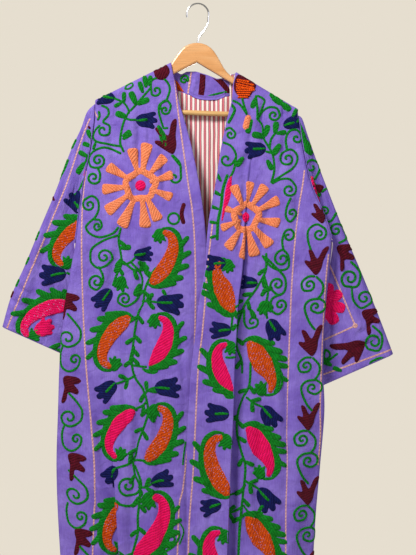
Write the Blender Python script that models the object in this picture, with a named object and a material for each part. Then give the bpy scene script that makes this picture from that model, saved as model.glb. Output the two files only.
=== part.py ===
"""A long open jacket of lined cotton on a wooden hanger, in its own frame.

The origin is where the hanger's hook rests on what holds it. +X is to the right as the jacket is seen
from the front, +Y goes from the front to the back, and +Z is up. "Left" is the -X side.
All sizes and tables below are in millimetres, and MM turns them to metres in the meshes.
"""

import math
from collections import namedtuple

import bmesh
import bpy
from mathutils import Matrix, Vector

for old in list(bpy.data.objects):
    bpy.data.objects.remove(old)

MM = 0.001

# Cloth: the outer cotton with its embroidery and lining is one wall, and the back has its lining apart.
CLOTH = 2.2
BACK_CLOTH = 1.6
LINING = 1.0
LINING_GAP = 0.4
SEAM_GAP = 0.3
SLEEVE_SEAM_GAP = 1.3
LEFT = -1
RIGHT = 1

# The hanger: a flat wooden body with two arms, a round bar between the arm ends and a bent wire hook.
WOOD_THICKNESS = 13.0
WOOD_EDGE_ROUND = 4.0
WOOD_TOP = -88.0
ARM_LINE_TOP = -105.5
ARM_LINE_LOW = -132.5
ARM_SLOPE = 0.55
HANGER_TILT = math.radians(2.2)
BAR_RADIUS = 5.75
BAR_HEIGHT = -247.0
BAR_HALF = 198.0
HOOK_WIRE = 3.8
HOOK_RADIUS = 25.0
HOOK_STEM_END = -103.0
SOCKET_GAP = 0.3

# How the cloth rides over the arms: its middle surface above the wood, and in front of and behind it.
RIDE = 2.4
ROUND_OVER = 9.0
FRONT_STAND = 9.6
BACK_STAND = 13.0

# Lengths down from the shoulder, and the half depth of the body at its sides.
HEM = -1330.0
SIDE_HALF_DEPTH = 10.0
SIDE_ROUND = 10.0
SIDE_SEAM_HALF = 0.35
FRONT_SIDE_REACH = 60.0
BACK_SIDE_REACH = 110.0
ARMHOLE_HALF = 5.5
ARMHOLE_CLOSES = 14.0
OVERLAP_STAND = 6.0

# The body, one row for each height: the two side folds, the free edges of the two fronts, how far the
# front and back hang off the hanger's faces, and the depth of the side seam.
BodyRow = namedtuple("BodyRow", "height left right left_edge right_edge front back seam")
BODY = [
    BodyRow(-130, -232, 226, -62, 92, 0, 0, 0),
    BodyRow(-157, -232, 226, -57, 87, 0, 0, 0),
    BodyRow(-184, -232, 226, -50, 81, 0, 0, 0),
    BodyRow(-220, -232, 226, -44, 78, 1, 0, 0),
    BodyRow(-264, -233, 228, -31, 67, 3, 1, 0),
    BodyRow(-332, -242, 238, -13, 53, 7, 2, -5),
    BodyRow(-411, -256, 255, 3, 41, 12, 3, -14),
    BodyRow(-486, -267, 286, 14, 27, 17, 4, -20),
    BodyRow(-540, -273, 300, 19, 21, 20, 4, -24),
    BodyRow(-604, -285, 296, 21, 17, 22, 5, -25),
    BodyRow(-682, -297, 288, 21, 3, 25, 6, -25),
    BodyRow(-763, -307, 283, 21, -6, 27, 7, -25),
    BodyRow(-831, -311, 282, 20, -14, 30, 8, -24),
    BodyRow(-922, -314, 285, 20, -20, 32, 10, -22),
    BodyRow(-1043, -318, 276, 20, -24, 34, 13, -17),
    BodyRow(-1163, -315, 266, 20, -24, 36, 15, -13),
    BodyRow(-1330, -305, 257, 20, -25, 38, 18, -10),
]

# The deepest hanging fold of each front: its place as a share of the panel's seen width, how far the
# crest stands forward and the valley back, and how far the crest laps over the valley.
FoldRow = namedtuple("FoldRow", "height place crest valley lap")
LEFT_FOLD = [
    FoldRow(-220, 0.62, 0, 0, -6),
    FoldRow(-700, 0.62, 0, 0, -6),
    FoldRow(-900, 0.62, 3, 3, -5),
    FoldRow(-1043, 0.62, 9, 10, 3),
    FoldRow(-1330, 0.62, 14, 14, 6),
]
RIGHT_FOLD = [
    FoldRow(-220, 0.42, 0, 0, -6),
    FoldRow(-411, 0.32, 3, 3, -6),
    FoldRow(-532, 0.29, 7, 7, -4),
    FoldRow(-831, 0.32, 13, 13, 5),
    FoldRow(-1080, 0.29, 16, 15, 8),
    FoldRow(-1330, 0.27, 18, 16, 8),
]
FOLD_FADE = 55.0
FOLD_SLACK = 1.15

# Soft hanging waves of the back, growing towards the hem: centre, half width and depth at the hem.
BackWave = namedtuple("BackWave", "place half_width depth")
BACK_WAVES = [BackWave(-175, 55, 11), BackWave(-60, 48, 9), BackWave(35, 42, 8), BackWave(150, 60, 12)]
BACK_WAVE_START = -420.0

# The sleeves, one row for each ring from the armhole to the cuff: the top fold, the underarm side, the
# half depth, and how closely the ring still follows the armhole's curve.
SleeveRow = namedtuple("SleeveRow", "top_x top_y top_z low_x low_y low_z half follow")
LEFT_SLEEVE = [
    SleeveRow(-233.4, 0, -228, -274.4, -24, -539, 7.0, 1.0),
    SleeveRow(-250, 0, -246, -283, -20, -553, 8.0, 0.8),
    SleeveRow(-264, 1, -283, -286, -8, -578, 9.5, 0.5),
    SleeveRow(-288, 2, -334, -279, 5, -612, 11.0, 0.2),
    SleeveRow(-322, 3, -424, -270, 10, -655, 12.0, 0.0),
    SleeveRow(-357, 4, -507, -260, 13, -700, 13.0, 0.0),
    SleeveRow(-392, 5, -592, -251, 17, -745, 13.0, 0.0),
    SleeveRow(-424, 5, -664, -242, 22, -788, 14.0, 0.0),
    SleeveRow(-444, 5, -733, -235, 27, -829, 15.0, 0.0),
]
RIGHT_SLEEVE = [
    SleeveRow(230.4, 0, -254, 301.4, -24, -539, 7.0, 1.0),
    SleeveRow(238, 1, -262, 311, -17, -553, 8.0, 0.8),
    SleeveRow(250, 2, -299, 314, -4, -580, 9.5, 0.5),
    SleeveRow(270, 4, -356, 305, 8, -620, 11.0, 0.2),
    SleeveRow(302, 4, -440, 291, 12, -668, 12.0, 0.0),
    SleeveRow(340, 5, -535, 277, 14, -724, 13.0, 0.0),
    SleeveRow(376, 5, -620, 262, 18, -780, 13.0, 0.0),
    SleeveRow(413, 5, -713, 248, 23, -836, 14.0, 0.0),
    SleeveRow(444, 5, -795, 235, 28, -890, 15.0, 0.0),
]

# The neck facing inside the back, and the loop sewn below it.
NECK_LEFT = -62.0
NECK_RIGHT = 87.0
NeckRow = namedtuple("NeckRow", "place sag")
BACK_NECK = [
    NeckRow(-68, 0),
    NeckRow(-58, 4),
    NeckRow(-48, 13),
    NeckRow(-38, 17),
    NeckRow(-25, 9),
    NeckRow(-4, 6),
    NeckRow(22, 11),
    NeckRow(44, 17),
    NeckRow(58, 14),
    NeckRow(74, 4),
    NeckRow(88, 0),
]
FACING_SIDE_DEPTH = 48.0
FACING_MIDDLE_DEPTH = 64.0
LOOP_HALF_LENGTH = 40.0
LOOP_MIDDLE = 22.0
LOOP_WIDTH = 9.0
LOOP_THICKNESS = 1.4
LINING_HEM_INSET = 18.0

# The steps of the grids, few enough to keep the faceted solids light.
TOP_STEPS = (0.0, 0.4, 2.5, 9.0)
BODY_ROWS = 16
INNER_COLUMNS = 6
FOLD_COLUMNS = 3
OUTER_COLUMNS = 5
ROUND_STEPS = (0.0, 0.45, 0.8, 1.0)
SHOULDER_COLUMNS = 6
SLEEVE_END_POINTS = 3


def clamp(value, low=0.0, high=1.0):
    return max(low, min(high, value))


def ease(value):
    """A smooth step from 0 to 1."""
    value = clamp(value)
    return value * value * (3 - 2 * value)


def mix(first, second, share):
    return first + (second - first) * share


def at_height(rows, column, height):
    """A column of a table read at a height, on a smooth curve through its rows."""
    heights = [row.height for row in rows]
    values = [getattr(row, column) for row in rows]
    if height >= heights[0]:
        return values[0]
    if height <= heights[-1]:
        return values[-1]
    i = next(k for k in range(len(rows) - 1) if heights[k + 1] <= height)
    slopes = []
    for k in (i, i + 1):
        before = max(k - 1, 0)
        after = min(k + 1, len(rows) - 1)
        slopes.append((values[after] - values[before]) / (heights[after] - heights[before]))
    span = heights[i + 1] - heights[i]
    t = (height - heights[i]) / span
    return (
        (2 * t**3 - 3 * t**2 + 1) * values[i]
        + (t**3 - 2 * t**2 + t) * span * slopes[0]
        + (3 * t**2 - 2 * t**3) * values[i + 1]
        + (t**3 - t**2) * span * slopes[1]
    )


# The shape of the cloth. Every piece of the jacket is read from these functions.


def ridge(x):
    """The height of the cloth's middle surface on top of the hanger's arm."""
    tilt = HANGER_TILT if x > 0 else -HANGER_TILT
    slope = math.tan(math.atan(ARM_SLOPE) + tilt)
    return ARM_LINE_TOP + RIDE - slope * abs(x)


def over_arm(x, z):
    """From 0 on top of the arm to 1 where the cloth hangs straight down."""
    return math.sqrt(1 - (1 - clamp((ridge(x) - z) / ROUND_OVER)) ** 2)


def side_x(side, z):
    return at_height(BODY, "left" if side == LEFT else "right", z)


def edge_x(side, z):
    return at_height(BODY, "left_edge" if side == LEFT else "right_edge", z)


def underarm(side):
    return (LEFT_SLEEVE if side == LEFT else RIGHT_SLEEVE)[0].low_z - 1.0


def armhole_half(side, x, z):
    """Half the open depth between the front's and the back's side edge."""
    if z < underarm(side):
        open_share = 1 - clamp((underarm(side) - z) / ARMHOLE_CLOSES)
    else:
        open_share = clamp((ridge(x) - z) / (2 * ROUND_OVER))
    return mix(SIDE_SEAM_HALF, ARMHOLE_HALF, open_share)


def front_depth(side, x, z):
    """The depth of a front before its fold and its rounded side."""
    over = over_arm(x, z)
    middle = -FRONT_STAND * over - at_height(BODY, "front", z) * over
    at_side = at_height(BODY, "seam", z) * over - SIDE_HALF_DEPTH * over
    near_side = ease(1 - abs(side_x(side, z) - x) / FRONT_SIDE_REACH)
    lapped = ease((-430 - z) / 110) * ease(1 - abs(x - edge_x(side, z)) / 75)
    stand = OVERLAP_STAND * lapped * -side
    return mix(middle, at_side, near_side) + stand - SEAM_GAP * (1 - over / 2)


def back_depth(x, z):
    """The depth of the back before its rounded sides."""
    side = LEFT if x < 0 else RIGHT
    over = over_arm(x, z)
    middle = BACK_STAND * over + at_height(BODY, "back", z) * over
    growth = clamp((BACK_WAVE_START - z) / (BACK_WAVE_START - HEM))
    for wave in BACK_WAVES:
        middle += wave.depth * growth * math.exp(-(((x - wave.place) / wave.half_width) ** 2) * 2)
    at_side = at_height(BODY, "seam", z) * over + SIDE_HALF_DEPTH * over
    near_side = ease(1.25 * (1 - abs(side_x(side, z) - x) / BACK_SIDE_REACH))
    return mix(middle, at_side, near_side) + SEAM_GAP * (1 - over / 2)


def front_lengths(side, z):
    """Flat lengths across a front at a height: edge to fold, round the fold, fold to side, round the side."""
    rows = LEFT_FOLD if side == LEFT else RIGHT_FOLD
    width = abs(side_x(side, z) - edge_x(side, z))
    lap = at_height(rows, "lap", z)
    rise = at_height(rows, "crest", z) + at_height(rows, "valley", z)
    to_fold = at_height(rows, "place", z) * width
    round_fold = math.hypot(lap, rise) * FOLD_SLACK
    to_side = width - SIDE_ROUND - to_fold + lap
    return to_fold, round_fold, to_side, SIDE_ROUND * math.pi / 2


def front_point(side, across, z):
    """A point of a front's middle surface, across millimetres of flat cloth from its free edge."""
    rows = LEFT_FOLD if side == LEFT else RIGHT_FOLD
    lap = at_height(rows, "lap", z)
    crest = at_height(rows, "crest", z)
    valley = at_height(rows, "valley", z)
    to_fold, round_fold, to_side, round_side = front_lengths(side, z)
    start = edge_x(side, z)
    if across <= to_fold:
        x = start + side * across
        offset = -crest * math.exp((across - to_fold) / FOLD_FADE)
    elif across <= to_fold + round_fold:
        share = (across - to_fold) / round_fold
        x = start + side * (to_fold - lap * share)
        offset = mix(-crest, valley, ease(share))
    else:
        past = across - to_fold - round_fold
        x = start + side * (to_fold - lap + min(past, to_side))
        offset = valley * math.exp(-past / FOLD_FADE)
    turned = clamp((across - to_fold - round_fold - to_side) / round_side) * math.pi / 2
    y = front_depth(side, x, z) + offset
    if turned > 0:
        seam = at_height(BODY, "seam", z) * over_arm(x, z)
        rim = seam - armhole_half(side, x, z)
        y += (rim - y) * (1 - math.cos(turned))
        x += side * SIDE_ROUND * math.sin(turned)
    return Vector((x, y, z))


def back_point(side, inset, z):
    """A point of the back's rounded side: inset runs from 0 at the seam to 1 where the rounding starts."""
    turned = (1 - inset) * math.pi / 2
    x = side_x(side, z) - side * SIDE_ROUND
    y = back_depth(x, z)
    seam = at_height(BODY, "seam", z) * over_arm(x, z)
    rim = seam + armhole_half(side, x, z)
    y += (rim - y) * (1 - math.cos(turned))
    return Vector((x + side * SIDE_ROUND * math.sin(turned), y, z))


def neck_share(x):
    return clamp((x - BACK_NECK[0].place) / (BACK_NECK[-1].place - BACK_NECK[0].place))


def neck_chord(x):
    """The straight line between the two neck points of the back."""
    return mix(ridge(BACK_NECK[0].place), ridge(BACK_NECK[-1].place), neck_share(x))


def back_top(x):
    """The height of the back's top edge: over the arms, and sagging between the neck points."""
    if x <= BACK_NECK[0].place or x >= BACK_NECK[-1].place:
        return ridge(x)
    i = next(k for k, row in enumerate(BACK_NECK) if row.place >= x)
    before, after = BACK_NECK[i - 1], BACK_NECK[i]
    share = (x - before.place) / (after.place - before.place)
    return neck_chord(x) - mix(before.sag, after.sag, share)


def facing_low(x):
    """The height of the neck facing's lower edge, and of the same line carried on to the sides."""
    bow = math.sin(math.pi * neck_share(x))
    depth = mix(FACING_SIDE_DEPTH, FACING_MIDDLE_DEPTH, bow)
    inside_neck = 0 < neck_share(x) < 1
    return (neck_chord(x) if inside_neck else ridge(x)) - depth


def heights_below(top, facing):
    """The heights of the points below a place on a top edge: close together over the arm, then even."""
    heights = [top - step for step in TOP_STEPS]
    heights += [mix(heights[-1], facing, 0.5), facing]
    return heights + [mix(facing, HEM, k / BODY_ROWS) for k in range(1, BODY_ROWS + 1)]


def settled_top(x_at, top_at):
    """The height where a column of the cloth, whose x changes with height, meets its top edge."""
    z = -200.0
    for _ in range(12):
        z = top_at(x_at(z))
    return z


def side_heights(side):
    top = settled_top(lambda z: side_x(side, z), ridge)
    return heights_below(top, top - FACING_SIDE_DEPTH)


def side_line(side, z):
    """The side fold's x at a height, straight between the body's rows as the walls are."""
    heights = side_heights(side)
    if z >= heights[0]:
        return side_x(side, z)
    i = next(k for k, height in enumerate(heights) if height < z)
    share = (heights[i - 1] - z) / (heights[i - 1] - heights[i])
    return mix(side_x(side, heights[i - 1]), side_x(side, heights[i]), share)


# Turning grids of points into walls.


def new_object(name, mesh, colour, roughness, metallic=0.0):
    """An object with its own material."""
    obj = bpy.data.objects.new(name, mesh)
    bpy.context.scene.collection.objects.link(obj)
    material = bpy.data.materials.new(name)
    material.use_nodes = True
    shader = material.node_tree.nodes["Principled BSDF"]
    shader.inputs["Base Color"].default_value = (*colour, 1)
    shader.inputs["Roughness"].default_value = roughness
    shader.inputs["Metallic"].default_value = metallic
    mesh.materials.append(material)
    return obj


def cloth_wall(name, rows, thickness, colour, ring=False, flip=False, left_out=()):
    """A wall of cloth around a grid of middle points. A ring's rows close on themselves."""
    mesh = bpy.data.meshes.new(name)
    columns = len(rows[0])
    steps = columns if ring else columns - 1
    faces = []
    for i in range(len(rows) - 1):
        for j in range(steps):
            if (i, j) in left_out:
                continue
            k = (j + 1) % columns
            quad = [i * columns + j, i * columns + k, (i + 1) * columns + k, (i + 1) * columns + j]
            faces.append(quad[::-1] if flip else quad)
    used = sorted({corner for face in faces for corner in face})
    order = {corner: k for k, corner in enumerate(used)}
    points = [rows[corner // columns][corner % columns] * MM for corner in used]
    mesh.from_pydata(points, [], [[order[corner] for corner in face] for face in faces])
    mesh.shade_smooth()
    obj = new_object(name, mesh, colour, 0.9)
    wall = obj.modifiers.new("wall", "SOLIDIFY")
    wall.thickness = thickness * MM
    wall.offset = 0
    wall.use_quality_normals = True
    return obj


def spaced(first, last, count):
    return [mix(first, last, k / (count - 1)) for k in range(count)]


# The pieces of the jacket.

LAVENDER = (0.30, 0.18, 0.52)
STRIPE = (0.62, 0.34, 0.38)


def front_columns():
    """Where the columns of a front lie: (stretch, share of that stretch)."""
    columns = [(0, k / INNER_COLUMNS) for k in range(INNER_COLUMNS)]
    columns += [(1, k / FOLD_COLUMNS) for k in range(FOLD_COLUMNS)]
    columns += [(2, k / OUTER_COLUMNS) for k in range(OUTER_COLUMNS)]
    columns += [(3, share) for share in ROUND_STEPS]
    return columns


def front_grid_point(side, column, z):
    stretch, share = column
    lengths = front_lengths(side, z)
    return front_point(side, sum(lengths[:stretch]) + lengths[stretch] * share, z)


def make_front(side, name):
    """A front, from the neck point and the shoulder seam to the hem, rounded back at its side."""
    columns = []
    for column in front_columns():
        top = settled_top(lambda z: front_grid_point(side, column, z).x, ridge)
        heights = heights_below(top, top - FACING_SIDE_DEPTH)
        columns.append([front_grid_point(side, column, z) for z in heights])
    rows = [list(row) for row in zip(*columns)]
    return cloth_wall(name, rows, CLOTH, LAVENDER, flip=side == LEFT)


FACING_ROW = len(TOP_STEPS) + 1
FIRST_FLAT_COLUMN = len(ROUND_STEPS) - 1
NECK_FIRST_COLUMN = FIRST_FLAT_COLUMN + SHOULDER_COLUMNS + 1
NECK_LAST_COLUMN = NECK_FIRST_COLUMN + len(BACK_NECK) - 3


def back_grid():
    """Rows of points on the back's middle surface, from side seam to side seam."""
    rounds = [1 - share for share in reversed(ROUND_STEPS[1:])]
    left = side_x(LEFT, -220) + SIDE_ROUND
    right = side_x(RIGHT, -220) - SIDE_ROUND
    tops = spaced(left, BACK_NECK[0].place, SHOULDER_COLUMNS + 1)[:-1]
    tops += [row.place for row in BACK_NECK]
    tops += spaced(BACK_NECK[-1].place, right, SHOULDER_COLUMNS + 1)[1:]
    columns = []
    for inset in rounds:
        columns.append([back_point(LEFT, inset, z) for z in side_heights(LEFT)])
    for place in tops:
        share = (place - left) / (right - left)

        def place_at(z):
            return mix(side_x(LEFT, z) + SIDE_ROUND, side_x(RIGHT, z) - SIDE_ROUND, share)

        top = settled_top(place_at, back_top)
        heights = heights_below(top, facing_low(place_at(top)))
        columns.append([Vector((place_at(z), back_depth(place_at(z), z), z)) for z in heights])
    for inset in reversed(rounds):
        columns.append([back_point(RIGHT, inset, z) for z in side_heights(RIGHT)])
    return [list(row) for row in zip(*columns)]


def make_back():
    """The back, one panel from side seam to side seam, with the neck edge free between the shoulders."""
    return cloth_wall("back", back_grid(), BACK_CLOTH, LAVENDER, flip=True)


def moved_inside(rows, away):
    """The back's points moved away millimetres towards its inside."""
    moved = []
    for i, row in enumerate(rows):
        line = []
        for j, point in enumerate(row):
            down = rows[min(i + 1, len(rows) - 1)][j] - rows[max(i - 1, 0)][j]
            right = row[min(j + 1, len(row) - 1)] - row[max(j - 1, 0)]
            line.append(point + down.cross(right).normalized() * away)
        moved.append(line)
    return moved


def make_lining():
    """The striped lining of the back. Under the neck it starts at the facing's lower edge."""
    rows = moved_inside(back_grid(), BACK_CLOTH / 2 + LINING_GAP + LINING / 2)
    first_row = len(TOP_STEPS) - 1
    rows = [row[FIRST_FLAT_COLUMN : len(row) - FIRST_FLAT_COLUMN] for row in rows[first_row:]]
    last = rows[-1]
    for j, point in enumerate(last):
        share = LINING_HEM_INSET / (rows[-2][j].z - point.z)
        last[j] = point.lerp(rows[-2][j], share)
    start = NECK_FIRST_COLUMN - FIRST_FLAT_COLUMN
    end = NECK_LAST_COLUMN - FIRST_FLAT_COLUMN
    cut = [(i, j) for i in range(FACING_ROW - first_row) for j in range(start, end)]
    return cloth_wall("back_lining", rows, LINING, STRIPE, flip=True, left_out=cut)


def make_facing():
    """The neck facing, of the outer cloth, inside the back's top edge."""
    rows = moved_inside(back_grid(), BACK_CLOTH / 2 + LINING_GAP + LINING / 2)
    rows = [row[NECK_FIRST_COLUMN : NECK_LAST_COLUMN + 1] for row in rows[: FACING_ROW + 1]]
    for row in rows:
        row[0].x += SEAM_GAP
        row[-1].x -= SEAM_GAP
    for point in rows[-1]:
        point.z += SEAM_GAP
    return cloth_wall("neck_facing", rows, LINING, LAVENDER, flip=True)


def make_loop():
    """The hanging loop: a narrow folded strip sewn over the facing's lower edge."""
    away = BACK_CLOTH / 2 + LINING_GAP + LINING + SEAM_GAP + LOOP_THICKNESS / 2
    rows = []
    for down in (0.0, 0.5, 1.0):
        row = []
        for share in spaced(-1, 1, 9):
            x = LOOP_MIDDLE + share * LOOP_HALF_LENGTH
            z = facing_low(x) + LOOP_WIDTH * (0.5 + 0.6 * share**4 - down)
            row.append(Vector((x, back_depth(x, z) - away, z)))
        rows.append(row)
    return cloth_wall("hanging_loop", rows, LOOP_THICKNESS, LAVENDER, flip=True)


def sleeve_ring(side, row):
    """One ring of a sleeve: two long sides with round ends, bent along the armhole near the top."""
    top = Vector((row.top_x, row.top_y, row.top_z))
    low = Vector((row.low_x, row.low_y, row.low_z))
    first = (LEFT_SLEEVE if side == LEFT else RIGHT_SLEEVE)[0]
    along = (low - top).normalized()
    end = row.half / (low - top).length
    heights = [z for z in side_heights(side) if first.low_z + 20 < z < first.top_z - 20]
    shares = [end] + [(z - first.top_z) / (first.low_z - first.top_z) for z in heights] + [1 - end]

    def middle(share):
        point = top.lerp(low, share)
        z = mix(first.top_z, first.low_z, share)
        straight = mix(first.top_x, first.low_x, share)
        seam = side_line(side, z) + side * (CLOTH / 2 + SLEEVE_SEAM_GAP)
        return point + Vector((row.follow * (seam - straight), 0, 0))

    out = Vector((0, row.half, 0))
    turns = [math.pi * k / (SLEEVE_END_POINTS + 1) for k in range(1, SLEEVE_END_POINTS + 1)]
    first_end, last_end = middle(shares[0]), middle(shares[-1])
    ring = [middle(share) - out for share in shares]
    ring += [last_end - out * math.cos(turn) + along * row.half * math.sin(turn) for turn in turns]
    ring += [middle(share) + out for share in reversed(shares)]
    ring += [first_end + out * math.cos(turn) - along * row.half * math.sin(turn) for turn in turns]
    return ring


def make_sleeve(side, name):
    """A sleeve: a flat tube from the armhole, open at both ends, hanging behind the body's side."""
    table = LEFT_SLEEVE if side == LEFT else RIGHT_SLEEVE
    rows = [sleeve_ring(side, row) for row in table]
    return cloth_wall(name, rows, CLOTH, LAVENDER, ring=True, flip=side == LEFT)


# The hanger.


def hanger_outline():
    """Half of the wooden body's outline at +X, from the top middle round the arm's end to the low middle."""
    hump = [(0, -88), (10, -89), (20, -92), (30, -98), (38, -106), (46, -117), (54, -130)]
    neck = [(61, -142), (69, -152), (78, -160), (88, -165), (100, -168)]
    arm_top = [(x, ARM_LINE_TOP - ARM_SLOPE * x) for x in (118, 206)]
    end = [(213, -224), (218, -233), (219, -245), (215, -255), (206, -260), (196, -258), (189, -250)]
    arm_low = [(x, ARM_LINE_LOW - ARM_SLOPE * x) for x in (176, 0)]
    return hump + neck + arm_top + end + arm_low


def tilt_hanger(obj):
    """Turns a piece of the hanger about the hook's entry, as the loaded hanger hangs."""
    pivot = Matrix.Translation((0, 0, WOOD_TOP * MM))
    obj.matrix_world = pivot @ Matrix.Rotation(HANGER_TILT, 4, "Y") @ pivot.inverted() @ obj.matrix_world


def make_cutter(name, radius, length, matrix):
    mesh = bpy.data.meshes.new(name)
    work = bmesh.new()
    bmesh.ops.create_cone(
        work, cap_ends=True, segments=16, radius1=radius * MM, radius2=radius * MM, depth=length * MM
    )
    work.to_mesh(mesh)
    work.free()
    cutter = bpy.data.objects.new(name, mesh)
    bpy.context.scene.collection.objects.link(cutter)
    cutter.matrix_world = matrix
    cutter.hide_render = True
    cutter.display_type = "WIRE"
    return cutter


def make_hanger_body():
    """The wooden body: a flat outline with rounded edges, bored for the hook and for the bar."""
    half = hanger_outline()
    outline = half + [(-x, z) for x, z in reversed(half[1:-1])]
    work = bmesh.new()
    bottom = [work.verts.new((x * MM, -WOOD_THICKNESS / 2 * MM, z * MM)) for x, z in outline]
    face = work.faces.new(bottom)
    grown = bmesh.ops.extrude_face_region(work, geom=[face])
    moved = [item for item in grown["geom"] if isinstance(item, bmesh.types.BMVert)]
    bmesh.ops.translate(work, verts=moved, vec=(0, WOOD_THICKNESS * MM, 0))
    bmesh.ops.recalc_face_normals(work, faces=work.faces)
    mesh = bpy.data.meshes.new("hanger_body")
    work.to_mesh(mesh)
    work.free()
    obj = new_object("hanger_body", mesh, (0.72, 0.47, 0.24), 0.35)
    edge = obj.modifiers.new("rounded edge", "BEVEL")
    edge.width = WOOD_EDGE_ROUND * MM
    edge.segments = 2
    edge.limit_method = "ANGLE"
    edge.angle_limit = math.radians(60)
    tilt_hanger(obj)
    along_x = Matrix.Translation((0, 0, BAR_HEIGHT * MM)) @ Matrix.Rotation(math.pi / 2, 4, "Y")
    bar_hole = make_cutter("bar_hole", BAR_RADIUS + SOCKET_GAP, 2 * (BAR_HALF + SOCKET_GAP), along_x)
    tilt_hanger(bar_hole)
    depth = WOOD_TOP - HOOK_STEM_END + SOCKET_GAP
    centre = WOOD_TOP - depth / 2 + 5
    hook_place = Matrix.Translation((0, 0, centre * MM))
    hook_hole = make_cutter("hook_hole", HOOK_WIRE / 2 + SOCKET_GAP, depth + 10, hook_place)
    for cutter in (bar_hole, hook_hole):
        cut = obj.modifiers.new(cutter.name, "BOOLEAN")
        cut.operation = "DIFFERENCE"
        cut.object = cutter
    return obj


def make_hanger_bar():
    mesh = bpy.data.meshes.new("hanger_bar")
    work = bmesh.new()
    bmesh.ops.create_cone(
        work,
        cap_ends=True,
        segments=16,
        radius1=BAR_RADIUS * MM,
        radius2=BAR_RADIUS * MM,
        depth=2 * BAR_HALF * MM,
    )
    work.to_mesh(mesh)
    work.free()
    obj = new_object("hanger_bar", mesh, (0.78, 0.58, 0.34), 0.4)
    obj.matrix_world = Matrix.Translation((0, 0, BAR_HEIGHT * MM)) @ Matrix.Rotation(math.pi / 2, 4, "Y")
    tilt_hanger(obj)
    return obj


def hook_route():
    """The wire's middle line: up from the wood, over to the right, round the top and down to its tip."""
    centre_z = HOOK_WIRE / 2 - HOOK_RADIUS
    stem = [(0, HOOK_STEM_END), (0, -86), (1.5, -79), (6, -71), (13, -61.5), (20, -51.5), (23.6, -42)]
    arc = []
    for degrees in range(-15, 196, 14):
        turn = math.radians(degrees)
        arc.append((HOOK_RADIUS * math.cos(turn), centre_z + HOOK_RADIUS * math.sin(turn)))
    return stem + arc


def make_hook():
    curve = bpy.data.curves.new("hanger_hook", "CURVE")
    curve.dimensions = "3D"
    curve.bevel_depth = HOOK_WIRE / 2 * MM
    curve.bevel_resolution = 2
    curve.use_fill_caps = True
    route = hook_route()
    line = curve.splines.new("POLY")
    line.points.add(len(route) - 1)
    for point, (x, z) in zip(line.points, route):
        point.co = (x * MM, 0, z * MM, 1)
    return new_object("hanger_hook", curve, (0.75, 0.75, 0.76), 0.15, 1.0)


make_front(LEFT, "front_left")
make_front(RIGHT, "front_right")
make_back()
make_sleeve(LEFT, "sleeve_left")
make_sleeve(RIGHT, "sleeve_right")
make_lining()
make_facing()
make_loop()
make_hanger_body()
make_hanger_bar()
make_hook()
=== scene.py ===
"""The looks of a long embroidered jacket on a wooden hanger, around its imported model.

Seen from the front +X is right, -Y comes towards the viewer and +Z is up. The tables of cloth and
needlework are in millimetres, and MM turns them to metres.
"""

import math

import bpy
import numpy as np
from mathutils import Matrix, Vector
from mathutils.geometry import delaunay_2d_cdt


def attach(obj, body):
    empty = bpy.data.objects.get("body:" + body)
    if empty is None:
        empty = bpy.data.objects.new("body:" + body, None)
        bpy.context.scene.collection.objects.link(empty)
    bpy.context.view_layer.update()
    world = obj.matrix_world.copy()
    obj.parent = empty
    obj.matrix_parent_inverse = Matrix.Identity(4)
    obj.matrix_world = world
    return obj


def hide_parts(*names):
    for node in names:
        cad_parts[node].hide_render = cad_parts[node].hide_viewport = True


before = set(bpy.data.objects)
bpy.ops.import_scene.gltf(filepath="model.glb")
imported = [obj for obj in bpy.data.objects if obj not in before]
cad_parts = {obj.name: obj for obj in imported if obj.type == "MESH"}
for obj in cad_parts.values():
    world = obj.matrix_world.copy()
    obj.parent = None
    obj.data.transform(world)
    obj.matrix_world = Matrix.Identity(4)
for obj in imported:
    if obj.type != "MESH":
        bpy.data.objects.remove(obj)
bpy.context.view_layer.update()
MM = 0.001

# The camera: level, square to the front, with its middle a little right of the hook, as in the
# photograph, which ends some way above the hem.
CAMERA_AWAY = 2600.0
CAMERA_X = 23.4
CAMERA_Z = -621.5
SEEN_HEIGHT = 1259.0
SENSOR = 36.0
FRONT_FACE = 8.0

lens = bpy.data.cameras.new("camera")
lens.sensor_fit = "VERTICAL"
lens.sensor_height = SENSOR
lens.lens = SENSOR * (CAMERA_AWAY - FRONT_FACE) / SEEN_HEIGHT
camera = bpy.data.objects.new("camera", lens)
camera.location = (CAMERA_X * MM, -CAMERA_AWAY * MM, CAMERA_Z * MM)
camera.rotation_euler = (math.pi / 2, 0, 0)
bpy.context.scene.collection.objects.link(camera)
bpy.context.scene.camera = camera

# The two fronts: each one length of lavender cotton lined with a striped cotton, sewn to the back
# along the shoulder and the side, with its free edge turned in. They hang from the hanger's arms in
# one deep fold each and in shallow creases.
LEFT = -1
RIGHT = 1
CLOTH = 2.2
SEAM_GAP = 0.3
HEM = -1330.0
ARM_TOP = -105.5
ARM_SLOPE = 0.55
HANGER_TILT = math.radians(2.2)
RIDE = 2.4
ROUND_OVER = 9.0
FRONT_STAND = 9.6
SIDE_HALF_DEPTH = 10.0
SIDE_ROUND = 10.0
SIDE_SEAM_HALF = 0.35
FRONT_SIDE_REACH = 60.0
ARMHOLE_HALF = 5.5
ARMHOLE_CLOSES = 14.0
OVERLAP_STAND = 6.0
LAP_TOP = -430.0
LAP_GROWS = 110.0
LAP_REACH = 75.0
UNDERARM = -540.0
FOLD_FADE = 55.0
FOLD_SLACK = 1.15
CREASE_STRENGTH = 1.75
CREASE_RIDGE = 0.45
CREASE_TOP = 6.0
CREASE_FADE = 22.0
TOP_STEPS = (0, 0.25, 1.0, 2.2, 4, 6.5, 10, 15)

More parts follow.
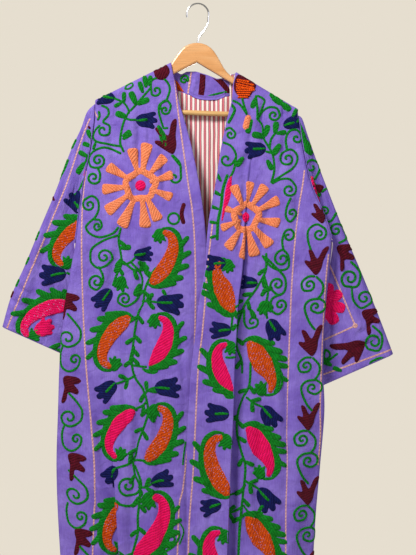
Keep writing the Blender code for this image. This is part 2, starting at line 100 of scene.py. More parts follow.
# Height, then the left and right side folds, the left and right free edges, how far the front and
# the back hang off the hanger, and the side seam's depth.
LEFT_SIDE, RIGHT_SIDE, LEFT_EDGE, RIGHT_EDGE, FRONT_OUT, BACK_OUT, SEAM_DEPTH = range(1, 8)
BODY_ROWS = [
    (-130, -232, 226, -62, 92, 0, 0, 0),
    (-157, -232, 226, -57, 87, 0, 0, 0),
    (-184, -232, 226, -50, 81, 0, 0, 0),
    (-220, -232, 226, -44, 78, 1, 0, 0),
    (-264, -233, 228, -31, 67, 3, 1, 0),
    (-332, -242, 238, -13, 53, 7, 2, -5),
    (-411, -256, 255, 3, 41, 12, 3, -14),
    (-486, -267, 286, 14, 27, 17, 4, -20),
    (-540, -273, 300, 19, 21, 20, 4, -24),
    (-604, -285, 296, 21, 17, 22, 5, -25),
    (-682, -297, 288, 21, 3, 25, 6, -25),
    (-763, -307, 283, 21, -6, 27, 7, -25),
    (-831, -311, 282, 20, -14, 30, 8, -24),
    (-922, -314, 285, 20, -20, 32, 10, -22),
    (-1043, -318, 276, 20, -24, 34, 13, -17),
    (-1163, -315, 266, 20, -24, 36, 15, -13),
    (-1330, -305, 257, 20, -25, 38, 18, -10),
]
# Height, then the fold's place across the front, its crest, its valley and how far it laps over.
FOLD_PLACE, FOLD_CREST, FOLD_VALLEY, FOLD_LAP = range(1, 5)
LEFT_FOLD_ROWS = [
    (-220, 0.62, 0, 0, -6),
    (-700, 0.62, 0, 0, -6),
    (-960, 0.62, 1, 1, -6),
    (-1050, 0.61, 4, 4, -4),
    (-1130, 0.60, 9, 10, 3),
    (-1330, 0.58, 14, 14, 6),
]
RIGHT_FOLD_ROWS = [
    (-220, 0.42, 0, 0, -6),
    (-411, 0.32, 3, 3, -6),
    (-532, 0.29, 7, 7, -4),
    (-831, 0.325, 13, 13, 5),
    (-1080, 0.325, 16, 15, 8),
    (-1330, 0.31, 18, 16, 8),
]
# Creases pressed or worn into each front: both ends (x, z), half width and depth of the trough.
LEFT_CREASES = [
    ((-133, -237), (-145, -518), 8, 3.6),
    ((-86, -246), (-67, -480), 7, 2.6),
    ((-195, -264), (-181, -423), 9, 3.2),
    ((-115, -246), (-111, -328), 4, 1.8),
    ((-172, -480), (-204, -713), 10, 3.0),
    ((-108, -502), (-131, -741), 9, 3.2),
    ((-213, -664), (-158, -641), 6, 1.8),
    ((-231, -836), (-213, -1172), 10, 3.6),
    ((-136, -888), (-145, -1263), 10, 4.6),
    ((-90, -854), (-76, -1320), 9, 4.0),
    ((-38, -673), (-31, -990), 6, 2.0),
    ((-276, -741), (-267, -1059), 9, 3.0),
    ((-108, -1263), (-113, -1331), 12, 4.0),
    ((-158, -786), (-163, -1013), 7, 2.6),
    ((-249, -1081), (-240, -1331), 8, 3.4),
]
RIGHT_CREASES = [
    ((189, -225), (198, -257), 3.2, 3.4),
    ((203, -223), (210, -250), 3.0, 3.0),
    ((155, -214), (146, -332), 8, 3.6),
    ((123, -228), (110, -378), 7, 2.6),
    ((103, -378), (98, -586), 8, 4.4),
    ((169, -423), (160, -673), 10, 3.2),
    ((223, -332), (232, -525), 9, 3.2),
    ((198, -273), (189, -400), 6, 2.4),
    ((137, -673), (146, -945), 10, 3.6),
    ((187, -854), (180, -1263), 11, 4.4),
    ((237, -741), (241, -1172), 9, 3.6),
    ((119, -990), (126, -1331), 10, 4.4),
    ((37, -945), (28, -1263), 6, 2.0),
    ((155, -1081), (160, -1331), 7, 3.4),
]


def curved(table, slope, i, t, span=1):
    """A smooth curve through a table's rows, at a share t of the step after row i."""
    before = (2 * t**3 - 3 * t**2 + 1) * table[i] + (t**3 - 2 * t**2 + t) * span * slope[i]
    return before + (3 * t**2 - 2 * t**3) * table[i + 1] + (t**3 - t**2) * span * slope[i + 1]


def smooth_curve(rows):
    """A table's columns on one smooth curve each: fine heights, and the values there."""
    table = np.array(rows, float)
    height = table[:, 0]
    order = np.arange(len(table))
    after, before = np.minimum(order + 1, order[-1]), np.maximum(order - 1, 0)
    slope = (table[after] - table[before]) / (height[after] - height[before])[:, None]
    fine = np.linspace(height[0], height[-1], 1300)
    i = np.clip(np.searchsorted(-height, -fine, side="right") - 1, 0, len(table) - 2)
    span = (height[i + 1] - height[i])[:, None]
    return fine, curved(table, slope, i, (fine - height[i])[:, None] / span, span)


def read(curve, column, z):
    return np.interp(-z, -curve[0], curve[1][:, column])


body_curve = smooth_curve(BODY_ROWS)
fold_curve = {LEFT: smooth_curve(LEFT_FOLD_ROWS), RIGHT: smooth_curve(RIGHT_FOLD_ROWS)}


def ease(value):
    value = np.clip(value, 0, 1)
    return value * value * (3 - 2 * value)


def mix(first, second, share):
    return first + (second - first) * share


def ridge(x):
    """The height of the cloth's middle on top of the hanger's arm."""
    slope = np.tan(math.atan(ARM_SLOPE) + np.where(x > 0, HANGER_TILT, -HANGER_TILT))
    return ARM_TOP + RIDE - slope * np.abs(x)


def over_arm(x, z):
    """From 0 on top of the arm to 1 where the cloth hangs straight down."""
    return np.sqrt(1 - (1 - np.clip((ridge(x) - z) / ROUND_OVER, 0, 1)) ** 2)


def side_x(side, z):
    return read(body_curve, LEFT_SIDE if side == LEFT else RIGHT_SIDE, z)


def edge_x(side, z):
    return read(body_curve, LEFT_EDGE if side == LEFT else RIGHT_EDGE, z)


def armhole_half(x, z):
    """Half the open depth between the front's and the back's side edge."""
    closing = 1 - np.clip((UNDERARM - z) / ARMHOLE_CLOSES, 0, 1)
    opened = np.clip((ridge(x) - z) / (2 * ROUND_OVER), 0, 1)
    return mix(SIDE_SEAM_HALF, ARMHOLE_HALF, np.where(z < UNDERARM, closing, opened))


def creased(creases, x, z):
    """How deep the creases are at a place. Each trough wanders, is uneven and fades out at its ends."""
    total = np.zeros(np.broadcast(x, z).shape)
    for number, ((x0, z0), (x1, z1), half_width, depth) in enumerate(creases):
        length = math.hypot(x1 - x0, z1 - z0)
        along = ((x - x0) * (x1 - x0) + (z - z0) * (z1 - z0)) / length**2
        off = ((x - x0) * (z1 - z0) - (z - z0) * (x1 - x0)) / length / half_width
        off = off + 0.5 * np.sin(along * 5.1 + number * 1.7)
        ends = ease((along + 0.12) / 0.4) * ease((1.12 - along) / 0.4)
        uneven = 0.78 + 0.22 * np.sin(along * 9.0 + number * 2.3)
        trough = np.exp(-(off**2)) - CREASE_RIDGE * np.exp(-((off - 2) ** 2))
        total = total + depth * uneven * ends * trough
    return CREASE_STRENGTH * total


def front_depth(side, x, z):
    over = over_arm(x, z)
    middle = -FRONT_STAND * over - read(body_curve, FRONT_OUT, z) * over
    at_side = read(body_curve, SEAM_DEPTH, z) * over - SIDE_HALF_DEPTH * over
    near_side = ease(1 - np.abs(side_x(side, z) - x) / FRONT_SIDE_REACH)
    lapped = ease((LAP_TOP - z) / LAP_GROWS) * ease(1 - np.abs(x - edge_x(side, z)) / LAP_REACH)
    return mix(middle, at_side, near_side) - side * OVERLAP_STAND * lapped - SEAM_GAP * (1 - over / 2)


def front_lengths(side, z):
    """Flat lengths at a height: edge to fold, round the fold, fold to side, and round the side."""
    curve = fold_curve[side]
    width = np.abs(side_x(side, z) - edge_x(side, z))
    lap = read(curve, FOLD_LAP, z)
    to_fold = read(curve, FOLD_PLACE, z) * width
    stand = read(curve, FOLD_CREST, z) + read(curve, FOLD_VALLEY, z)
    round_fold = np.hypot(lap, stand) * FOLD_SLACK
    return to_fold, round_fold, width - SIDE_ROUND - to_fold + lap, SIDE_ROUND * math.pi / 2 + 0 * z


def front_cloth(side):
    """A front as points for places on its flat cloth: drawn x, which runs on through the fold, and z."""
    curve = fold_curve[side]
    creases = LEFT_CREASES if side == LEFT else RIGHT_CREASES

    def cloth(drawn, z):
        drawn, z = np.broadcast_arrays(np.asarray(drawn, float), np.asarray(z, float))
        lap, crest, valley = (read(curve, column, z) for column in (FOLD_LAP, FOLD_CREST, FOLD_VALLEY))
        to_fold, round_fold, to_side, round_side = front_lengths(side, z)
        start = edge_x(side, z)
        across = side * (drawn - start)
        in_fold = (across - to_fold) / round_fold
        past = across - to_fold - round_fold
        seen = np.where(in_fold < 0, across, to_fold - lap * in_fold)
        seen = np.where(in_fold > 1, to_fold - lap + np.minimum(past, to_side), seen)
        before = -crest * np.exp(np.minimum(across - to_fold, 0) / FOLD_FADE)
        after = valley * np.exp(-np.maximum(past, 0) / FOLD_FADE)
        within = mix(-crest, valley, ease(in_fold))
        offset = np.where(in_fold < 0, before, np.where(in_fold > 1, after, within))
        x = start + side * seen
        turned = np.clip((past - to_side) / round_side, 0, 1) * math.pi / 2
        y = front_depth(side, x, z) + offset
        rim = read(body_curve, SEAM_DEPTH, z) * over_arm(x, z) - armhole_half(x, z)
        below_arm = ease((ridge(x) - z - CREASE_TOP) / CREASE_FADE)
        settled = below_arm * (1 - turned / 1.6) * ease((across + 2) / 12)
        y = y + creased(creases, drawn, z) * settled
        y = y + (rim - y) * (1 - np.cos(turned))
        return np.stack([x + side * SIDE_ROUND * np.sin(turned), y, z], -1)

    return cloth


def drawn_place(side, x, z):
    """The place on the flat cloth of what is seen at x on a front."""
    to_fold, round_fold, _, _ = front_lengths(side, z)
    lap = read(fold_curve[side], FOLD_LAP, z)
    beyond = side * (x - edge_x(side, z)) > to_fold - lap / 2
    return x + np.where(beyond, side * (round_fold + lap), 0)


def rows_to_hem(cloth, drawn, top_at, columns, rows):
    """Flat places in rows from the top edge to the hem, close together over the hanger's arm."""
    top = np.full(columns, -200.0)
    for _ in range(12):
        top = top_at(cloth(drawn(top), top)[:, 0])
    heights = [top - step for step in TOP_STEPS]
    heights += [mix(heights[-1], HEM, k / rows) for k in range(1, rows + 1)]
    return np.stack([drawn(row) for row in heights]), np.stack(heights)


FRONT_STRETCHES = ((0, 44), (1, 9), (2, 36), (3, 6))
FRONT_ROWS = 205


def front_grid(side):
    """A whole front's flat places: columns for each stretch of its width, from the free edge round."""
    stretch = np.concatenate([np.full(count, number) for number, count in FRONT_STRETCHES] + [[3]])
    share = np.concatenate([np.arange(count) / count for _, count in FRONT_STRETCHES] + [[1.0]])
    columns = np.arange(len(stretch))

    def drawn(z):
        lengths = np.stack([length + 0 * z for length in front_lengths(side, z)])
        starts = np.concatenate([0 * lengths[:1], np.cumsum(lengths, 0)])
        across = starts[stretch, columns] + lengths[stretch, columns] * share
        return edge_x(side, z) + side * across

    return rows_to_hem(front_cloth(side), drawn, ridge, len(stretch), FRONT_ROWS)


def facing(cloth, drawn, z, out):
    """Points of the cloth's middle and the way its outside faces. out is -1 for fronts, 1 for backs."""
    step = 1.2
    point = cloth(drawn, z)
    right = cloth(drawn + step, z) - cloth(drawn - step, z)
    up = cloth(drawn, z + step) - cloth(drawn, z - step)
    normal = np.cross(right, up) * (1 if out < 0 else -1)
    return point, normal / np.maximum(np.linalg.norm(normal, axis=-1, keepdims=True), 1e-9)


def linear(code):
    """A colour given as sRGB hex, as Blender's linear values."""
    parts = [int(code[k : k + 2], 16) / 255 for k in (1, 3, 5)]
    return tuple(p / 12.92 if p < 0.04045 else ((p + 0.055) / 1.055) ** 2.4 for p in parts) + (1.0,)


def node(tree, kind, links=(), **settings):
    """Adds a node. links are (input, source socket) pairs, and settings are properties or inputs."""
    made = tree.nodes.new(kind)
    for name, value in settings.items():
        if hasattr(made, name):
            setattr(made, name, value)
        else:
            made.inputs[name.replace("_", " ")].default_value = value
    for place, source in links:
        tree.links.new(made.inputs[place], source)
    return made


def ramp(tree, source, stops, interpolation="LINEAR"):
    made = node(tree, "ShaderNodeValToRGB", [(0, source)])
    band = made.color_ramp
    band.interpolation = interpolation
    while len(band.elements) < len(stops):
        band.elements.new(0.5)
    for element, (place, colour) in zip(band.elements, stops):
        element.position = place
        element.color = linear(colour) if isinstance(colour, str) else (colour, colour, colour, 1)
    return made.outputs["Color"]


def noise(tree, place, scale, detail, **settings):
    links = [("Vector", place)]
    made = node(tree, "ShaderNodeTexNoise", links, Scale=scale, Detail=detail, **settings)
    return made.outputs["Fac"]


def bands(tree, place, direction, pitch, **settings):
    """Even bands that repeat every pitch millimetres. The texture turns 20 times as fast as its scale."""
    scale = 2 * math.pi / (20 * pitch)
    settings.update(bands_direction=direction, Scale=scale)
    return node(tree, "ShaderNodeTexWave", [("Vector", place)], **settings).outputs["Fac"]


def stretched(tree, place, scale, lean=0.0):
    made = node(tree, "ShaderNodeMapping", [("Vector", place)])
    made.inputs["Scale"].default_value = scale
    made.inputs["Rotation"].default_value = (0, lean, 0)
    return made.outputs[0]


def combined(tree, operation, first, second):
    """Two values put together. The second may be a plain number."""
    made = node(tree, "ShaderNodeMath", [(0, first)], operation=operation)
    if isinstance(second, float):
        made.inputs[1].default_value = second
    else:
        tree.links.new(made.inputs[1], second)
    return made.outputs[0]


def darkened(tree, colour, shade):
    links = [(6, colour), (7, shade)]
    made = node(tree, "ShaderNodeMix", links, data_type="RGBA", blend_type="MULTIPLY", Factor=1.0)
    return made.outputs[2]


def overlaid(tree, share, colour, code):
    """A colour with a plain one laid over it by a share."""
    made = node(tree, "ShaderNodeMix", [("Factor", share), (6, colour)], data_type="RGBA")
    made.inputs[7].default_value = linear(code)
    return made.outputs[2]


def raised(tree, height, strength, distance, under=None):
    """A surface direction with fine relief, on top of an earlier one if there is one."""
    links = [("Height", height)] + ([("Normal", under)] if under else [])
    return node(tree, "ShaderNodeBump", links, Strength=strength, Distance=distance).outputs[0]


def new_material(name, roughness, ior=1.5):
    material = bpy.data.materials.new(name)
    material.use_nodes = True
    tree = material.node_tree
    shader = tree.nodes["Principled BSDF"]
    shader.inputs["Roughness"].default_value = roughness
    shader.inputs["IOR"].default_value = ior
    return material, tree, shader


def finish_with(tree, shader, colour, relief):
    tree.links.new(shader.inputs["Base Color"], colour)
    tree.links.new(shader.inputs["Normal"], relief)


def flat_place(tree):
    """The place on the flat cloth, in millimetres."""
    return node(tree, "ShaderNodeUVMap", uv_map="flat").outputs["UV"]


# Outer cloth: cotton, plain woven from slightly slubby yarn, which gives a matt face with a faint cross
# grain. Real threads lie 0.45 mm apart; they are drawn 1.6 mm apart so that the grain shows, with
# painted shade in the gaps between them.
WEAVE_PITCH = 1.6
WEAVE_SHADE = 0.17
SLUB_WIDTH = 1.7
SLUB_LENGTH = 26.0
CLOUD_SIZE = 60.0
PUCKER_SIZE = 24.0


def woven_cotton(name, shades):
    material, tree, shader = new_material(name, 0.86, 1.46)
    shader.inputs["Specular IOR Level"].default_value = 0.2
    shader.inputs["Sheen Weight"].default_value = 0.05
    shader.inputs["Sheen Tint"].default_value = linear(shades[-1])
    place = flat_place(tree)
    warp, weft = (bands(tree, place, way, WEAVE_PITCH, Distortion=0.6, Detail=1) for way in "XY")
    woven = combined(tree, "MULTIPLY", warp, weft)
    cloudy = noise(tree, place, 1 / CLOUD_SIZE, 5, Roughness=0.6)
    slubs = noise(tree, stretched(tree, place, (1 / SLUB_WIDTH, 1 / SLUB_LENGTH, 1)), 1.0, 2)
    base = ramp(tree, cloudy, [(0.3, shades[0]), (0.52, shades[1]), (0.75, shades[2])])
    fine = ramp(tree, slubs, [(0.3, 1 - WEAVE_SHADE), (0.7, 1.0)])
    # Painted shade: the gaps between warp and weft threads are darkened.
    dark = ramp(tree, woven, [(0.0, 1 - WEAVE_SHADE), (0.5, 1.0)])
    puckers = raised(tree, noise(tree, place, 1 / PUCKER_SIZE, 2, Distortion=0.6), 0.8, 0.005)
    grain = raised(tree, combined(tree, "ADD", woven, slubs), 0.35, 0.0006, puckers)
    finish_with(tree, shader, darkened(tree, darkened(tree, base, fine), dark), grain)
    return material


lavender_cotton = woven_cotton("lavender plain-weave cotton", ("#7058be", "#826ccf", "#9682e2"))


# Lining: light cotton printed or woven in even stripes, white and rose with a dark line between.
STRIPE_REPEAT = 10.5
STRIPE_DRIFT = 1.6
DRIFT_SIZE = 45.0
STRIPES = [(0.0, "#f3e3e2"), (0.36, "#3c2026"), (0.48, "#d4707f"), (0.80, "#3c2026"), (0.9, "#f6e9e6")]


def striped_cotton(name):
    material, tree, shader = new_material(name, 0.82, 1.46)
    place = flat_place(tree)
    across = node(tree, "ShaderNodeSeparateXYZ", [("Vector", place)]).outputs["X"]
    drift = combined(tree, "MULTIPLY", noise(tree, place, 1 / DRIFT_SIZE, 1), STRIPE_DRIFT)
    repeats = combined(tree, "DIVIDE", combined(tree, "ADD", across, drift), STRIPE_REPEAT)
    in_repeat = node(tree, "ShaderNodeMath", [(0, repeats)], operation="FRACT").outputs[0]
    weft = bands(tree, place, "Y", WEAVE_PITCH)
    stripes = ramp(tree, in_repeat, STRIPES, "CONSTANT")
    # Painted shade: the gaps between weft threads are darkened over the printed stripes.
    toned = darkened(tree, stripes, ramp(tree, weft, [(0.0, 0.88), (0.6, 1.0)]))
    finish_with(tree, shader, toned, raised(tree, weft, 0.25, 0.0004))
    return material


lining_stripes = striped_cotton("rose and white striped lining")
lined = (lavender_cotton, lining_stripes)
unlined = (lavender_cotton, lavender_cotton)


def mesh_object(name, points, faces, picked, materials, uv):
    """A smooth mesh from points in millimetres, faces, their material numbers and flat places."""
    mesh = bpy.data.meshes.new(name)
    mesh.from_pydata((points * MM).tolist(), [], faces)
    mesh.polygons.foreach_set("material_index", np.asarray(picked, np.int32))
    mesh.polygons.foreach_set("use_smooth", np.ones(len(mesh.polygons), bool))
    for material in materials:
        mesh.materials.append(material)
    corner = np.empty(len(mesh.loops), np.int32)
    mesh.loops.foreach_get("vertex_index", corner)
    mesh.uv_layers.new(name="flat").data.foreach_set("uv", uv[corner].astype(np.float32).ravel())
    mesh.validate()
    obj = bpy.data.objects.new(name, mesh)
    bpy.context.scene.collection.objects.link(obj)
    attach(obj, "root")
    return obj


ROLLED_EDGE = 0.8


def cloth_panel(name, cloth, drawn, z, out, thickness, materials, ring=False):
    """A panel as a thin closed shell: outer face, inner face and a rolled rim. A ring closes on itself."""
    point, normal = facing(cloth, drawn, z, out)
    middle, normal = point.reshape(-1, 3), normal.reshape(-1, 3)
    half = thickness / 2
    rows, columns = drawn.shape
    count = rows * columns
    number = np.arange(count).reshape(rows, columns)
    wrap = columns if ring else columns - 1
    following = (np.arange(wrap) + 1) % columns
    above, below = number[:-1], number[1:]
    corners = [above[:, :wrap], above[:, following], below[:, following], below[:, :wrap]]
    quads = np.stack(corners, -1).reshape(-1, 4)
    points = [middle + normal * half, middle - normal * half]
    sample = quads[len(quads) // 2]
    a, b, _, d = points[0][sample]
    if np.dot(np.cross(b - a, d - a), normal[sample[0]]) < 0:
        quads = quads[:, ::-1]
    if ring:
        rims = [(number[0], middle[number[1]].mean(0)), (number[-1], middle[number[-2]].mean(0))]
    else:
        around = [number[0], number[1:, -1], number[-1, -2::-1], number[-2:0:-1, 0]]
        rims = [(np.concatenate(around), middle[quads].mean(1).mean(0))]
    faces = quads.tolist() + (quads[:, ::-1] + count).tolist()
    picked = [0] * len(quads) + [1] * len(quads)
    flat = [np.stack([drawn, z], -1).reshape(-1, 2)] * 2
    edges = {(quad[k], quad[(k + 1) % 4]) for quad in quads.tolist() for k in range(4)}
    start = 2 * count
    for rim, inward in rims:
        away = np.cross(middle[np.roll(rim, -1)] - middle[np.roll(rim, 1)], normal[rim])
        away /= np.maximum(np.linalg.norm(away, axis=1, keepdims=True), 1e-9)
        if np.sum(away * (middle[rim] - inward)) < 0:
            away = -away
        points.append(middle[rim] + away * half * ROLLED_EDGE)
        flat.append(flat[0][rim])
        size = len(rim)
        for k in range(size):
            n = (k + 1) % size
            u, v, s, t = int(rim[k]), int(rim[n]), start + k, start + n
            if (u, v) in edges:
                u, v, s, t = v, u, t, s
            faces += [[u, v, t, s], [s, t, v + count, u + count]]
            picked += [0, 0]
        start += size
    return mesh_object(name, np.concatenate(points), faces, picked, materials, np.concatenate(flat))


for side, name in ((LEFT, "front_left"), (RIGHT, "front_right")):
    panel = cloth_panel(name + "_cloth", front_cloth(side), *front_grid(side), -1, CLOTH, lined)
    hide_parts(name)

# The back: one panel of the same cotton from side seam to side seam, hanging in four soft waves,
# with its lining sewn in apart and the neck edge free between the shoulders.
BACK_CLOTH = 1.6
LINING = 1.0
LINING_GAP = 0.4
BACK_STAND = 13.0
BACK_SIDE_REACH = 110.0
BACK_WAVES = [(-175, 55, 11), (-60, 48, 9), (35, 42, 8), (150, 60, 12)]
BACK_WAVE_START = -420.0
BACK_CREASE_FADE = 24.0
NECK_PLACES = (-68, -58, -48, -38, -25, -4, 22, 44, 58, 74, 88)
NECK_SAGS = (0, 4, 13, 17, 9, 6, 11, 17, 14, 4, 0)
BACK_CREASES = [
    ((-170, -250), (-150, -560), 14, 3.0),
    ((120, -240), (140, -520), 13, 2.8),
    ((-30, -190), (-50, -330), 10, 2.0),
    ((60, -200), (52, -360), 9, 1.8),
    ((-120, -620), (-135, -900), 13, 2.6),
    ((85, -600), (92, -980), 13, 2.8),
    ((200, -560), (190, -800), 11, 2.2),
    ((-230, -640), (-240, -900), 11, 2.4),
    ((-100, -950), (-112, -1310), 14, 3.4),
    ((110, -1000), (98, -1320), 14, 3.6),
    ((-22, -142), (-20, -205), 4, 1.5),
    ((-6, -142), (-9, -200), 4, 1.8),
    ((16, -146), (12, -205), 4, 1.6),
    ((38, -150), (42, -204), 4, 1.3),
]
FACING_SIDE_DEPTH = 48.0
FACING_MIDDLE_DEPTH = 64.0


def back_depth(x, z):
    over = over_arm(x, z)
    middle = BACK_STAND * over + read(body_curve, BACK_OUT, z) * over
    growth = np.clip((BACK_WAVE_START - z) / (BACK_WAVE_START - HEM), 0, 1)
    for place, half_width, depth in BACK_WAVES:
        middle = middle + depth * growth * np.exp(-2 * ((x - place) / half_width) ** 2)
    at_side = read(body_curve, SEAM_DEPTH, z) * over + SIDE_HALF_DEPTH * over
    to_side = np.abs(np.where(x < 0, side_x(LEFT, z), side_x(RIGHT, z)) - x)
    near_side = ease(1.25 * (1 - to_side / BACK_SIDE_REACH))
    return mix(middle, at_side, near_side) + SEAM_GAP * (1 - over / 2)


def back_cloth(drawn, z):
    """The back for places on its flat cloth. Beyond the last flat place it rounds to the side seam."""
    drawn, z = np.broadcast_arrays(np.asarray(drawn, float), np.asarray(z, float))
    side = np.where(drawn < 0, LEFT, RIGHT)
    limit = np.where(side == LEFT, side_x(LEFT, z), side_x(RIGHT, z)) - side * SIDE_ROUND
    past = side * (drawn - limit)
    x = np.where(past > 0, limit, drawn)
    turned = np.clip(past / (SIDE_ROUND * math.pi / 2), 0, 1) * math.pi / 2
    y = back_depth(x, z)
    settled = ease((back_top(x) - z - CREASE_TOP) / BACK_CREASE_FADE) * (1 - turned / 1.6)
    y = y - creased(BACK_CREASES, drawn, z) * settled
    rim = read(body_curve, SEAM_DEPTH, z) * over_arm(x, z) + armhole_half(x, z)
    y = y + (rim - y) * (1 - np.cos(turned))
    return np.stack([x + side * SIDE_ROUND * np.sin(turned), y, z], -1)


def neck_share(x):
    return np.clip((x - NECK_PLACES[0]) / (NECK_PLACES[-1] - NECK_PLACES[0]), 0, 1)


def neck_chord(x):
    first, last = ridge(np.array([NECK_PLACES[0], NECK_PLACES[-1]], float))
    return mix(first, last, neck_share(x))


def back_top(x):
    """The back's top edge: over the arms, and sagging between the neck points."""
    inside = (x > NECK_PLACES[0]) & (x < NECK_PLACES[-1])
    return np.where(inside, neck_chord(x) - np.interp(x, NECK_PLACES, NECK_SAGS), ridge(x))


def facing_low(x):
    """The height of the neck facing's lower edge."""
    share = neck_share(x)
    depth = mix(FACING_SIDE_DEPTH, FACING_MIDDLE_DEPTH, np.sin(math.pi * share))
    return np.where((share > 0) & (share < 1), neck_chord(x), ridge(x)) - depth


BACK_COLUMNS = 110
BACK_ROWS = 205
ROUND_PLACES = np.array([0.2, 0.4, 0.6, 0.8, 1.0]) * SIDE_ROUND * math.pi / 2


def back_grid():
    share = np.linspace(0, 1, BACK_COLUMNS)

    def drawn(z):
        left, right = side_x(LEFT, z) + SIDE_ROUND, side_x(RIGHT, z) - SIDE_ROUND
        flat = mix(left, right, np.concatenate([np.zeros(5), share, np.ones(5)]))
        flat[:5] -= ROUND_PLACES[::-1]
        flat[-5:] += ROUND_PLACES
        return flat

    return rows_to_hem(back_cloth, drawn, back_top, BACK_COLUMNS + 10, BACK_ROWS)


back = cloth_panel("back_cloth", back_cloth, *back_grid(), 1, BACK_CLOTH, lined)
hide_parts("back")

# The back's lining: striped cotton inside the back, from the neck facing's lower edge to just above
# the hem, and the facing of outer cloth sewn inside the neck edge above it.
LINING_HEM_INSET = 18.0
LINING_WIDENS = 1.28
LINING_PARTS = ((-219, -58.6, 34), (-58, 74, 40), (74.6, 213, 32))
FACING_PART = (-57.4, 73.4, 54)
LINING_AWAY = BACK_CLOTH / 2 + LINING_GAP + LINING / 2


def inside_back(away):
    """The back's cloth moved towards its inside."""

    def cloth(drawn, z):
        point, normal = facing(back_cloth, drawn, z, 1)
        return point - normal * away

    return cloth


def flat_grid(left, right, columns, top, low, rows):
    """Places between two heights that may change across, on the back's flat part."""
    drawn = np.linspace(left, right, columns)
    share = np.linspace(0, 1, rows)[:, None]
    return np.broadcast_to(drawn, (rows, columns)), mix(top(drawn), low(drawn), share)


def lining_top(x):
    inside = (x > NECK_PLACES[1]) & (x < NECK_PLACES[-2])
    return np.where(inside, facing_low(x) - 0.4, ridge(x) - 9.0)


parts = []
for left, right, columns in LINING_PARTS:
    parts.append(flat_grid(left, right, columns, lining_top, lambda x: 0 * x + HEM + LINING_HEM_INSET, 190))
drawn, z = (np.concatenate(values, 1) for values in zip(*parts))
widening = mix(1.0, LINING_WIDENS, ease((-260 - z) / 300))
drawn = np.clip(drawn * widening, side_x(LEFT, z) + 13, side_x(RIGHT, z) - 13)
inner_cloth = inside_back(LINING_AWAY)
lining = cloth_panel("back_lining_cloth", inner_cloth, drawn, z, 1, LINING, (lining_stripes, lining_stripes))
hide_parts("back_lining")
drawn, z = flat_grid(*FACING_PART, lambda x: back_top(x) - 0.2, facing_low, 26)
neck_facing = cloth_panel("neck_facing_cloth", inner_cloth, drawn, z, 1, LINING, unlined)
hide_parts("neck_facing")

# The hanging loop: a narrow strip of the outer cloth, folded, stitched flat, and sewn across the
# facing's lower edge by its two turned-up ends.
LOOP_HALF_LENGTH = 40.0
LOOP_MIDDLE = 22.0
LOOP_WIDTH = 9.0
LOOP_THICKNESS = 1.4
loop_away = BACK_CLOTH / 2 + LINING_GAP + LINING + SEAM_GAP + LOOP_THICKNESS / 2


def loop_cloth(drawn, z):
    """The loop for its own flat places: drawn from end to end, z from its lower to its upper edge."""
    drawn, z = np.broadcast_arrays(np.asarray(drawn, float), np.asarray(z, float))
    share = (drawn - LOOP_MIDDLE) / LOOP_HALF_LENGTH
    height = facing_low(drawn) + z + LOOP_WIDTH * 0.6 * share**4
    rolled = 0.5 * np.cos(z / LOOP_WIDTH * 2 * math.pi)
    return np.stack([drawn, back_depth(drawn, height) - loop_away + rolled, height], -1)


drawn, z = np.meshgrid(
    np.linspace(LOOP_MIDDLE - LOOP_HALF_LENGTH, LOOP_MIDDLE + LOOP_HALF_LENGTH, 50),
    np.linspace(LOOP_WIDTH / 2, -LOOP_WIDTH / 2, 9),
)
loop = cloth_panel("hanging_loop_cloth", loop_cloth, drawn, z, 1, LOOP_THICKNESS, unlined)
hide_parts("hanging_loop")

# The sleeves: straight tubes of the outer cloth, pressed flat with a fold along the top, sewn into
# the armhole and hanging behind the body's side, open at the cuff.
SLEEVE_SEAM_GAP = 1.3
SLEEVE_STEP = 78.0
SLEEVE_SPAN = 330.0
# Top fold x, y, z, underarm side x, y, z, half depth, and how far the ring follows the armhole.
TOP_X, TOP_Y, TOP_Z, LOW_X, LOW_Y, LOW_Z, HALF_DEPTH, FOLLOW = range(8)
SLEEVE_ROWS = {
    LEFT: [
        (-233.4, 0, -228, -274.4, -24, -539, 7.0, 1.0),
        (-250, 0, -246, -276, -20, -553, 8.0, 0.8),
        (-264, 1, -283, -275, -8, -578, 9.5, 0.5),
        (-288, 2, -334, -270, 5, -612, 11.0, 0.2),
        (-322, 3, -424, -270, 10, -655, 12.0, 0.0),
        (-357, 4, -507, -260, 13, -700, 13.0, 0.0),
        (-392, 5, -592, -251, 17, -745, 13.0, 0.0),
        (-424, 5, -664, -242, 22, -788, 14.0, 0.0),
        (-444, 5, -733, -235, 27, -829, 15.0, 0.0),
    ],
    RIGHT: [
        (230.4, 0, -254, 301.4, -24, -539, 7.0, 1.0),
        (238, 1, -262, 303, -17, -553, 8.0, 0.8),
        (250, 2, -299, 301, -4, -580, 9.5, 0.5),
        (270, 4, -356, 296, 8, -620, 11.0, 0.2),
        (302, 4, -440, 291, 12, -668, 12.0, 0.0),
        (340, 5, -535, 277, 14, -724, 13.0, 0.0),
        (376, 5, -620, 262, 18, -780, 13.0, 0.0),
        (413, 5, -713, 248, 23, -836, 14.0, 0.0),
        (444, 5, -795, 235, 28, -890, 15.0, 0.0),
    ],
}
SLEEVE_CREASES = {
    LEFT: [
        ((-340, -509), (-394, -741), 9, 3.2),
        ((-422, -632), (-372, -664), 5, 3.6),
        ((-426, -664), (-381, -700), 5, 3.0),
        ((-403, -586), (-344, -600), 6, 2.6),
        ((-249, -332), (-303, -514), 9, 3.0),
        ((-299, -514), (-335, -673), 9, 2.6),
        ((-313, -673), (-344, -768), 8, 2.4),
    ],
    RIGHT: [
        ((246, -282), (309, -500), 9, 3.2),
        ((305, -514), (396, -745), 8, 3.0),
        ((282, -536), (337, -741), 9, 3.0),
        ((409, -713), (359, -754), 5, 3.4),
        ((423, -750), (346, -791), 5, 3.0),
        ((300, -673), (314, -832), 8, 2.4),
    ],
}
LAST_RING = 8.0
SLEEVE_ROUND = 0.05


